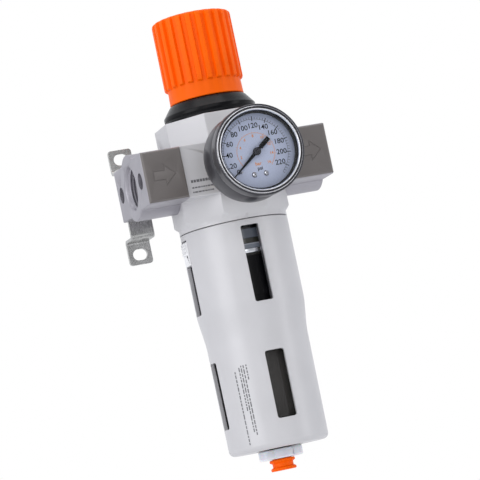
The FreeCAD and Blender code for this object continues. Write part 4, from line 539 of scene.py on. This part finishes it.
def bar_mark(bm, radius_from, radius_to, turn, width):
    """A straight radial mark on the dial's plane, made from a unit cube."""
    length = radius_to - radius_from
    shape = Matrix.Diagonal((width * MM, length * MM, INK * MM, 1))
    shift = Matrix.Translation((0, (radius_from + length / 2) * MM, (dial_face + INK / 2) * MM))
    bmesh.ops.create_cube(bm, size=1, matrix=Matrix.Rotation(-turn, 4, "Z") @ shift @ shape)


def arc_mark(bm, radius, width, first, last, steps=120):
    """A thin printed arc between two shares of the scale."""
    start = Matrix.Rotation(-dial_turn(first), 4, "Z")
    inner = bm.verts.new(start @ Vector((0, (radius - width / 2) * MM, (dial_face + INK) * MM)))
    outer = bm.verts.new(start @ Vector((0, (radius + width / 2) * MM, (dial_face + INK) * MM)))
    edge = bm.edges.new((inner, outer))
    bmesh.ops.spin(bm, geom=[inner, outer, edge], cent=(0, 0, 0), axis=(0, 0, 1),
                   angle=dial_turn(first) - dial_turn(last), steps=steps, use_merge=False)


def words(bm, text, size, x, y, turn=0):
    """Printed characters, made a mesh before they are placed."""
    curve = bpy.data.curves.new("print", "FONT")
    curve.body = text
    curve.size = size * MM * 1.35
    curve.align_x = "CENTER"
    curve.align_y = "CENTER"
    curve.extrude = INK / 2 * MM
    curve.offset = 0.055 * MM
    curve.resolution_u = 3
    carrier = bpy.data.objects.new("print", curve)
    bpy.context.scene.collection.objects.link(carrier)
    bpy.context.view_layer.update()
    mesh = bpy.data.meshes.new_from_object(carrier)
    mesh.transform(Matrix.Translation((x * MM, y * MM, (dial_face + INK / 2) * MM))
                   @ Matrix.Rotation(-turn, 4, "Z"))
    bm.from_mesh(mesh)
    bpy.data.objects.remove(carrier)
    bpy.data.meshes.remove(mesh)
    bpy.data.curves.remove(curve)


# %% [markdown]
# Major psi marks come every 20, with a number inside each.  Minor marks every 4 psi hang on
# a thin arc.

# %% Psi scale
psi = bmesh.new()
for value in range(0, FULL_PSI + 1, 4):
    turn = dial_turn(value / FULL_PSI)
    if value % 20 == 0:
        bar_mark(psi, 18.4, 21.2, turn, 0.42)
    else:
        bar_mark(psi, 19.5, 20.8, turn, 0.18)
arc_mark(psi, 19.5, 0.16, 0, 1)
for value in range(0, FULL_PSI, 20):
    turn = dial_turn(value / FULL_PSI)
    reach = 16.2 if value < 100 else 15.6
    words(psi, str(value), 3.1, reach * math.sin(turn), reach * math.cos(turn))
words(psi, "psi", 2.2, 0.6, -9.7)
settle("psi_print", psi, "housing", [ink], (), gauge_axis)

# %% [markdown]
# The bar scale is orange: an arc with short marks, and its numbers inside it.

# %% Bar scale
bars = bmesh.new()
arc_mark(bars, 11.4, 0.22, 0, 1)
for value in range(0, FULL_BAR * 2 + 1):
    turn = dial_turn(value / FULL_BAR / 2)
    bar_mark(bars, 11.4, 12.2 if value % 4 == 0 else 11.9, turn, 0.18 if value % 4 == 0 else 0.1)
for value in range(0, FULL_BAR + 1, 2):
    turn = dial_turn(value / FULL_BAR)
    words(bars, str(value), 1.7, 9.5 * math.sin(turn), 9.6 * math.cos(turn))
words(bars, "bar", 2.1, 0, -6.9)
settle("bar_print", bars, "housing", [orange_ink], (), gauge_axis)

# %% [markdown]
# The pointer is a stamped blade with a broad tail.  Its hub is a small turned cap.

# %% Pointer hub
hub_front = gauge_heights("gauge_pointer")[1]
hub_line = [(0.01, hub_front - 1.2), (2.35, hub_front - 1.2), (2.35, hub_front - 0.35)]
hub_line += bead(2.0, hub_front - 0.35, 0.35, 0, 90, 4)
hub_line += [(0.9, hub_front + 0.02), (0.7, hub_front - 0.1), (0.01, hub_front - 0.1)]
settle("pointer_hub_cap", spun(hub_line, 48), "pointer", [case_paint], (),
       gauge_axis, 40)

# %% [markdown]
# Two dome-headed screws hold the dial.  Each cross recess is drawn as two black bars laid on the
# dome: painted shade where the recess is.

# %% Dial screw recesses, painted shade
SCREW_ACROSS = 3.6
SCREW_DROP = 13
SLOT_SUNK = 0.10
# The black bars are painted shade standing for the cross recesses.
slots = bmesh.new()
screw_face = gauge_heights("gauge_dial_screws")[1]
for side in (-1, 1):
    for turn in (30, 120):
        shape = Matrix.Diagonal((1.5 * MM, 0.28 * MM, 0.25 * MM, 1))
        spot = Matrix.Translation((side * SCREW_ACROSS * MM, -SCREW_DROP * MM,
                                   (screw_face - SLOT_SUNK) * MM))
        bmesh.ops.create_cube(slots, size=1,
                              matrix=spot @ Matrix.Rotation(math.radians(turn), 4, "Z") @ shape)
settle("dial_screw_slot_shade", slots, "housing", [black_paint], (), gauge_axis)


# %% [markdown]
# Both port mouths are threaded, 14 threads to the inch.  The ridge is a small V, spun about
# the port's axis while it also advances, which is what the spin's dvec is for.

# %% Port threads
PITCH = 25.4 / 14
TURNS = 8
THREAD_STEPS = 56
PORT_RADIUS = 13.22
RIDGE = 1.0


def thread(name, mouth_x, inwards):
    """A helical ridge inside a port, from its mouth inwards."""
    bm = bmesh.new()
    points = [(0, PORT_RADIUS + 0.02), (PITCH * 0.44, PORT_RADIUS - RIDGE),
              (PITCH * 0.56, PORT_RADIUS - RIDGE), (PITCH, PORT_RADIUS + 0.02)]
    verts = [bm.verts.new((mouth_x + inwards * (1.0 + along) * MM, 0, reach * MM))
             for along, reach in points]
    edges = [bm.edges.new(pair) for pair in zip(verts, verts[1:])]
    step = inwards * PITCH * MM / THREAD_STEPS
    bmesh.ops.spin(bm, geom=verts + edges, cent=(0, 0, 0), axis=(1, 0, 0), dvec=(step, 0, 0),
                   angle=math.tau * TURNS, steps=THREAD_STEPS * TURNS, use_merge=False)
    bmesh.ops.recalc_face_normals(bm, faces=bm.faces)
    for face in bm.faces:
        centre = face.calc_center_median()
        if face.normal.dot(Vector((0, centre.y, centre.z))) > 0:
            face.normal_flip()
    settle(name, bm, "housing", [casting], (), None, 20)


thread("inlet_thread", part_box("inlet_port_block")[0].x, 1)
thread("outlet_thread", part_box("outlet_port_block")[1].x, -1)

# %% [markdown]
# A cover panel closes each port block's front.  It keeps its CAD shape, with the outline of
# a flow arrow sunk in it, and every edge is rounded a little.

# %% Cover panels
softened("inlet_cover_panel", "housing", 0.12, cover_grey, 2)
softened("outlet_cover_panel", "housing", 0.12, cover_grey, 2)

# %% [markdown]
# Printed lines stand on the body's front bar and beside the guard's lower window.  They are
# generic: rows of short dashes with uneven lengths, with no letters in them.

# %% Printed dashes
PRINT = 0.03
random.seed(11)


def dashes(length, shortest, longest, gap):
    """Start and end of each dash along a line of the given length."""
    spans = []
    at = 0.0
    while at < length - shortest:
        run = min(random.uniform(shortest, longest), length - at)
        spans.append((at, at + run))
        at += run + gap
    return spans


bar_front = -34.2
INK_SHARE = 0.45
LINES_START = -30.3
marks = bmesh.new()
ROWS = [(-6.4, 3.6, 12.5), (-10.3, 1.9, 13), (-13.0, 1.9, 13)]
for rise, tall, length in ROWS:
    for start, end in dashes(length, 0.8, 1.9, 0.35):
        across = upright.translation.x / MM + LINES_START + (start + end) / 2
        shape = Matrix.Diagonal(((end - start) * MM, PRINT * MM, tall * INK_SHARE * MM, 1))
        spot = Matrix.Translation((across * MM, (bar_front - PRINT / 2) * MM, rise * MM))
        bmesh.ops.create_cube(marks, size=1, matrix=spot @ shape)
settle("bar_print_lines", marks, "housing", [grey_ink])

# %% [markdown]
# The guard narrows a little towards its foot, so each dash finds its own radius from its
# height.  The lines run downwards.

# %% Dashes on the guard
LINE_TURNS = [-35.0, -38.4, -41.2, -44.0, -50.0]
LINE_STARTS = [-118, -118, -118, -119, -121]
LINE_LENGTHS = [9, 43, 40, 26, 44]
LINE_WIDTH = 0.75
WAIST_RADIUS = 30.8
FOOT_RADIUS = 30.4
TAPER_TOP = -102
TAPER_LENGTH = 67.5


def guard_reach(height):
    """The guard's outer radius at a height below its waist, in millimetres."""
    return WAIST_RADIUS - (WAIST_RADIUS - FOOT_RADIUS) * (TAPER_TOP - height) / TAPER_LENGTH


notes = bmesh.new()
for turn, start_height, length in zip(LINE_TURNS, LINE_STARTS, LINE_LENGTHS):
    for start, end in dashes(length, 0.9, 3.2, 0.6):
        height = start_height - (start + end) / 2
        shape = Matrix.Diagonal((LINE_WIDTH * MM, PRINT * MM, (end - start) * MM, 1))
        spot = Matrix.Translation((0, -(guard_reach(height) + PRINT / 2) * MM, height * MM))
        about = Matrix.Rotation(math.radians(turn), 4, "Z")
        bmesh.ops.create_cube(notes, size=1, matrix=about @ spot @ shape)
settle("guard_print_lines", notes, "bowl", [grey_ink], (), upright)

# %% [markdown]
# The guard is a deep cup with four slots above and four windows below.  It is spun as a
# closed wall, waisted in the middle by a smooth step, and the openings are cut by a Boolean
# with eight rounded blocks.  Its inner faces are then painted near-black: painted shade, so
# the openings read as deep.

# %% Guard wall
guard_low, guard_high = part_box("bowl_guard")
guard_foot = guard_low.z / MM
GUARD_TOP = -33.4
GUARD_RADIUS = 33
GUARD_EDGE = 0.6
FOOT_ROUND = 3.5
FOOT_HOLE = 14.4
FLOOR = 2.6
KNEE = -80.5
WAIST = -105.5
WALL_OF_GUARD = 2.4
SPIGOT = 26.1
SPIGOT_TOP = -24.02


def waisted(offset, steps=14):
    """Points from above the knee to below the waist, inset by offset."""
    points = []
    for number in range(steps + 1):
        share = number / steps
        ease = share * share * (3 - 2 * share)
        radius = GUARD_RADIUS - (GUARD_RADIUS - WAIST_RADIUS) * ease
        points.append((radius - offset, KNEE + (WAIST - KNEE) * share))
    return points


guard_line = [(SPIGOT - 2, SPIGOT_TOP), (SPIGOT, SPIGOT_TOP), (SPIGOT, GUARD_TOP),
              (GUARD_RADIUS - GUARD_EDGE, GUARD_TOP)]
guard_line += bead(GUARD_RADIUS - GUARD_EDGE, GUARD_TOP - GUARD_EDGE, GUARD_EDGE, 90, 0, 4)
guard_line += waisted(0)
guard_line += bead(FOOT_RADIUS - FOOT_ROUND, guard_foot + FOOT_ROUND, FOOT_ROUND, 0, -90, 8)
guard_line += [(FOOT_HOLE, guard_foot), (FOOT_HOLE, guard_foot + FLOOR),
               (FOOT_RADIUS - 5, guard_foot + FLOOR),
               (FOOT_RADIUS - WALL_OF_GUARD, guard_foot + 5)]
guard_line += waisted(WALL_OF_GUARD)[::-1]
guard_line += [(GUARD_RADIUS - WALL_OF_GUARD, GUARD_TOP - 3), (SPIGOT - 2, GUARD_TOP - 3),
               (SPIGOT - 2, SPIGOT_TOP)]


def rounded_blocks(width, height, centre, corner):
    """Four blocks, one each way, whose corners are rounded about the radial direction."""
    bm = bmesh.new()
    for quarter in range(4):
        about = Matrix.Rotation(math.radians(90 * quarter), 4, "Z")
        shape = Matrix.Diagonal((width * MM, 12 * MM, height * MM, 1))
        spot = Matrix.Translation((0, -32 * MM, centre * MM))
        block = bmesh.ops.create_cube(bm, size=1, matrix=spot @ shape)["verts"]
        along = [edge for edge in {e for v in block for e in v.link_edges}
                 if abs(edge.verts[0].co.y - edge.verts[1].co.y) > 5 * MM]
        bmesh.ops.bevel(bm, geom=along, offset=corner * MM, segments=5, affect="EDGES",
                        profile=0.5, material=-1)
        turned = [v for v in bm.verts if not v.tag]
        bmesh.ops.transform(bm, matrix=about, verts=turned)
        for vert in turned:
            vert.tag = True
    return bm


SLOT_WIDTH = 11.3
blocks = rounded_blocks(SLOT_WIDTH, height=46, centre=-60, corner=1.4)
lower = rounded_blocks(width=12, height=40.5, centre=-132.8, corner=1.5)
lower_mesh = bpy.data.meshes.new("lower_blocks")
lower.to_mesh(lower_mesh)
lower.free()
blocks.from_mesh(lower_mesh)
bpy.data.meshes.remove(lower_mesh)
blocks.transform(upright)
block_mesh = bpy.data.meshes.new("blocks")
blocks.to_mesh(block_mesh)
blocks.free()
cutter = bpy.data.objects.new("blocks", block_mesh)
bpy.context.scene.collection.objects.link(cutter)
guard = settle("guard_wall", spun(guard_line, 120), "bowl", [paint, painted_shade_inside],
               ["bowl_guard"], upright)
cut = guard.modifiers.new("openings", "BOOLEAN")
cut.operation = "DIFFERENCE"
cut.solver = "EXACT"
cut.object = cutter
bpy.context.view_layer.update()
depsgraph = bpy.context.evaluated_depsgraph_get()
opened = bpy.data.meshes.new_from_object(guard.evaluated_get(depsgraph))
guard.modifiers.clear()
guard.data = opened
bpy.data.objects.remove(cutter)
bpy.data.meshes.remove(block_mesh)
# Faces that look inwards take the near-black painted shade.
for face in opened.polygons:
    spot = face.center
    outwards = Vector((spot.x - upright.translation.x, spot.y, 0)).normalized()
    face.material_index = 1 if face.normal.dot(outwards) < -0.5 else 0
smooth(opened)
add_bevel(guard, 0.25, 2, 35)
print("guard faces:", len(opened.polygons))

# %% [markdown]
# Inside each upper slot, both flanks carry a near-black slab, painted shade on the slot's flank,
# with a row of slanted light ribs on it.  One sheared bar is repeated down each flank.

# %% Painted shade and ribs in the slots
SLOT_HIGH = -37.2
SLOT_LOW = -82.8
SHADE_SLAB_DEPTH = 4.6
RIB_PITCH = 1.3
flank_shade = bmesh.new()
ribs = bmesh.new()
count = int((SLOT_HIGH - SLOT_LOW) / RIB_PITCH)
for quarter in range(4):
    about = Matrix.Rotation(math.radians(90 * quarter), 4, "Z")
    for side in (-1, 1):
        spot = Matrix.Translation((side * (SLOT_WIDTH / 2 + 0.8) * MM, -28.4 * MM,
                                   (SLOT_HIGH + SLOT_LOW) / 2 * MM))
        shape = Matrix.Diagonal((1.4 * MM, SHADE_SLAB_DEPTH * MM, (SLOT_HIGH - SLOT_LOW) * MM, 1))
        bmesh.ops.create_cube(flank_shade, size=1, matrix=about @ spot @ shape)
        for number in range(1, count):
            height = SLOT_HIGH - (number + 0.5) * RIB_PITCH
            spot = Matrix.Translation((side * (SLOT_WIDTH / 2 + 0.02) * MM, -28.5 * MM,
                                       height * MM))
            lean = Matrix.Rotation(math.radians(-32), 4, "X")
            shape = Matrix.Diagonal((0.3 * MM, 4.2 * MM, 0.5 * MM, 1))
            bmesh.ops.create_cube(ribs, size=1, matrix=about @ spot @ lean @ shape)
# The flank slabs take the near-black finish: painted shade in the slots.
settle("slot_flank_shade", flank_shade, "bowl", [painted_shade_inside], (), upright)
settle("slot_ribs", ribs, "bowl", [casting], (), upright)
print("slot ribs:", count * 8)


# %% [markdown]
# Behind the upper slots the bowl's neck is wrapped by a sleeve painted in bands, from below:
# grey-blue, a light line, a dark olive seal, grey-blue again, and a near-black band at the top,
# which is painted shade under the slots' top edge.  The bands are a colour ramp over the height.

# %% Neck sleeve with bands
BLUR = 0.012


def banded(name, low, high, bands):
    """A material whose colour changes with height; bands are (height, colour) from below."""
    made = finish(name, (0.5, 0.5, 0.5), rough=0.18, drift=0.02, coat=0.5, grain=900, depth=0.01)
    nodes = made.node_tree.nodes
    links = made.node_tree.links
    place = nodes.new("ShaderNodeTexCoord")
    split = nodes.new("ShaderNodeSeparateXYZ")
    links.new(place.outputs["Object"], split.inputs["Vector"])
    span = nodes.new("ShaderNodeMapRange")
    span.inputs["From Min"].default_value = low * MM
    span.inputs["From Max"].default_value = high * MM
    links.new(split.outputs["Z"], span.inputs["Value"])
    ramp = nodes.new("ShaderNodeValToRGB")
    stops = ramp.color_ramp.elements
    stops[0].position = 0
    stops[0].color = (*bands[0][1], 1)
    for (height, colour), (_, before) in zip(bands[1:], bands):
        share = (height - low) / (high - low)
        stops.new(max(0, share - BLUR)).color = (*before, 1)
        stops.new(min(1, share + BLUR)).color = (*colour, 1)
    stops[len(stops) - 1].position = 1
    stops[len(stops) - 1].color = (*bands[-1][1], 1)
    links.new(span.outputs["Result"], ramp.inputs["Fac"])
    links.new(ramp.outputs["Color"], nodes["Principled BSDF"].inputs["Base Color"])
    return made


BLUE_GREY = (0.105, 0.120, 0.150)
OLIVE = (0.030, 0.030, 0.024)
LIGHT = (0.42, 0.44, 0.50)
NECK_LOW = -50.35
NECK_HIGH = -37.0
# The top band, near-black, is painted shade under the slots' top edge.
neck = banded("neck_bands", NECK_LOW, NECK_HIGH, [
    (NECK_LOW, (0.20, 0.225, 0.27)), (-48.0, LIGHT), (-47.3, OLIVE), (-44.2, BLUE_GREY),
    (-38.6, (0.006, 0.006, 0.007))])
NECK_BORE = 23.62
neck_line = [(NECK_BORE, NECK_LOW), (25.2, NECK_LOW), (25.2, -47.6), (24.8, -47.2),
             (24.8, -44.3), (25.3, -44.0), (25.3, NECK_HIGH - 0.3), (25.0, NECK_HIGH),
             (NECK_BORE, NECK_HIGH), (NECK_BORE, NECK_LOW)]
settle("neck_sleeve", spun(neck_line), "bowl", [neck], (), upright)

# %% [markdown]
# The bright ring under the sleeve is a turned collar with rounded edges.

# %% Bright ring
band_low, band_high = heights("bowl_top_ring")
BAND_BORE = 23.65
BAND_ROUND = 0.4
BAND_FLAT = 24.9
band_line = [(BAND_BORE, band_low)]
band_line += bead(BAND_FLAT, band_low + BAND_ROUND, BAND_ROUND, -90, 0, 4)
band_line += bead(BAND_FLAT, band_high - BAND_ROUND, BAND_ROUND, 0, 90, 4)
band_line += [(BAND_BORE, band_high), (BAND_BORE, band_low)]
settle("bright_band", spun(band_line), "bowl", [bright_ring], ["bowl_top_ring"],
       upright)

# %% [markdown]
# The studio: a white surround that lights everything softly, four soft lamps that model the
# round shapes, and a pale floor.  The surround is dimmer in front of the object, so that dark
# shapes stay dark.  The lamps are area lights aimed at the object's middle.

# %% World and floor
world = bpy.data.worlds.new("studio")
bpy.context.scene.world = world
world.use_nodes = True
nodes = world.node_tree.nodes
links = world.node_tree.links
back = nodes["Background"]
back.inputs["Color"].default_value = (1, 1, 1, 1)
back.inputs["Strength"].default_value = 1.0
dim = nodes.new("ShaderNodeBackground")
dim.inputs["Color"].default_value = (0.95, 0.965, 1.0, 1)
way = nodes.new("ShaderNodeTexCoord")
parts = nodes.new("ShaderNodeSeparateXYZ")
links.new(way.outputs["Generated"], parts.inputs["Vector"])
fall = nodes.new("ShaderNodeMapRange")
fall.interpolation_type = "SMOOTHSTEP"
fall.inputs["From Min"].default_value = -1.0
fall.inputs["From Max"].default_value = 0.1
fall.inputs["To Min"].default_value = 0.42
fall.inputs["To Max"].default_value = 0.98
links.new(parts.outputs["Y"], fall.inputs["Value"])
links.new(fall.outputs["Result"], dim.inputs["Strength"])
seen = nodes.new("ShaderNodeLightPath")
both = nodes.new("ShaderNodeMixShader")
links.new(seen.outputs["Is Camera Ray"], both.inputs["Fac"])
links.new(dim.outputs["Background"], both.inputs[1])
links.new(back.outputs["Background"], both.inputs[2])
links.new(both.outputs["Shader"], nodes["World Output"].inputs["Surface"])

floor = bmesh.new()
bmesh.ops.create_circle(floor, cap_ends=True, segments=96, radius=4)
floor_mesh = bpy.data.meshes.new("floor")
floor.to_mesh(floor_mesh)
floor.free()
FLOOR_LEVEL = -0.35
floor_mesh.transform(Matrix.Translation((0, 0, FLOOR_LEVEL)))
floor_piece = bpy.data.objects.new("floor", floor_mesh)
pale = finish("pale_floor", (0.86, 0.86, 0.86), rough=0.6, drift=0.01, grain=300)
floor_mesh.materials.append(pale)
bpy.context.scene.collection.objects.link(floor_piece)

# %% [markdown]
# A long lens from a little below and to the left, rolled so that the upright axis leans.

# %% Camera
aim_at = Vector((0.0601, -0.0006, -0.0420))
camera_place = Vector((-0.3987, -1.5177, -0.2017))
ROLL = math.radians(11.796)
LENS = 197.58
camera_data = bpy.data.cameras.new("camera")
camera_data.lens = LENS
camera_data.sensor_width = 36
camera_data.clip_start = 0.05
camera = bpy.data.objects.new("camera", camera_data)
bpy.context.scene.collection.objects.link(camera)
look = (aim_at - camera_place).to_track_quat("-Z", "Y").to_matrix().to_4x4()
camera.matrix_world = Matrix.Translation(camera_place) @ look @ Matrix.Rotation(-ROLL, 4, "Z")
bpy.context.scene.camera = camera


# %% [markdown]
# One helper makes the four lamps.  The left one is the strongest.

# %% Lamps
def lamp(name, place, power, width, height, colour=(1, 1, 1)):
    """A soft rectangular lamp that faces the object's middle."""
    data = bpy.data.lights.new(name, "AREA")
    data.shape = "RECTANGLE"
    data.size = width
    data.size_y = height
    data.energy = power
    data.color = colour
    made = bpy.data.objects.new(name, data)
    bpy.context.scene.collection.objects.link(made)
    made.location = place
    made.rotation_euler = (aim_at - Vector(place)).to_track_quat("-Z", "Y").to_euler()
    return made


lamp("left_softbox", (-1.6, -0.9, 0.5), 12, 1.2, 1.8)
lamp("right_softbox", (1.5, -1.0, 0.2), 5, 0.5, 1.8)
lamp("top_softbox", (0.1, -0.3, 1.6), 7, 1.2, 1.2)
lamp("front_fill", (-0.4, -2.0, 0.6), 7, 1.6, 1.2)
bpy.context.scene.view_settings.view_transform = "Standard"
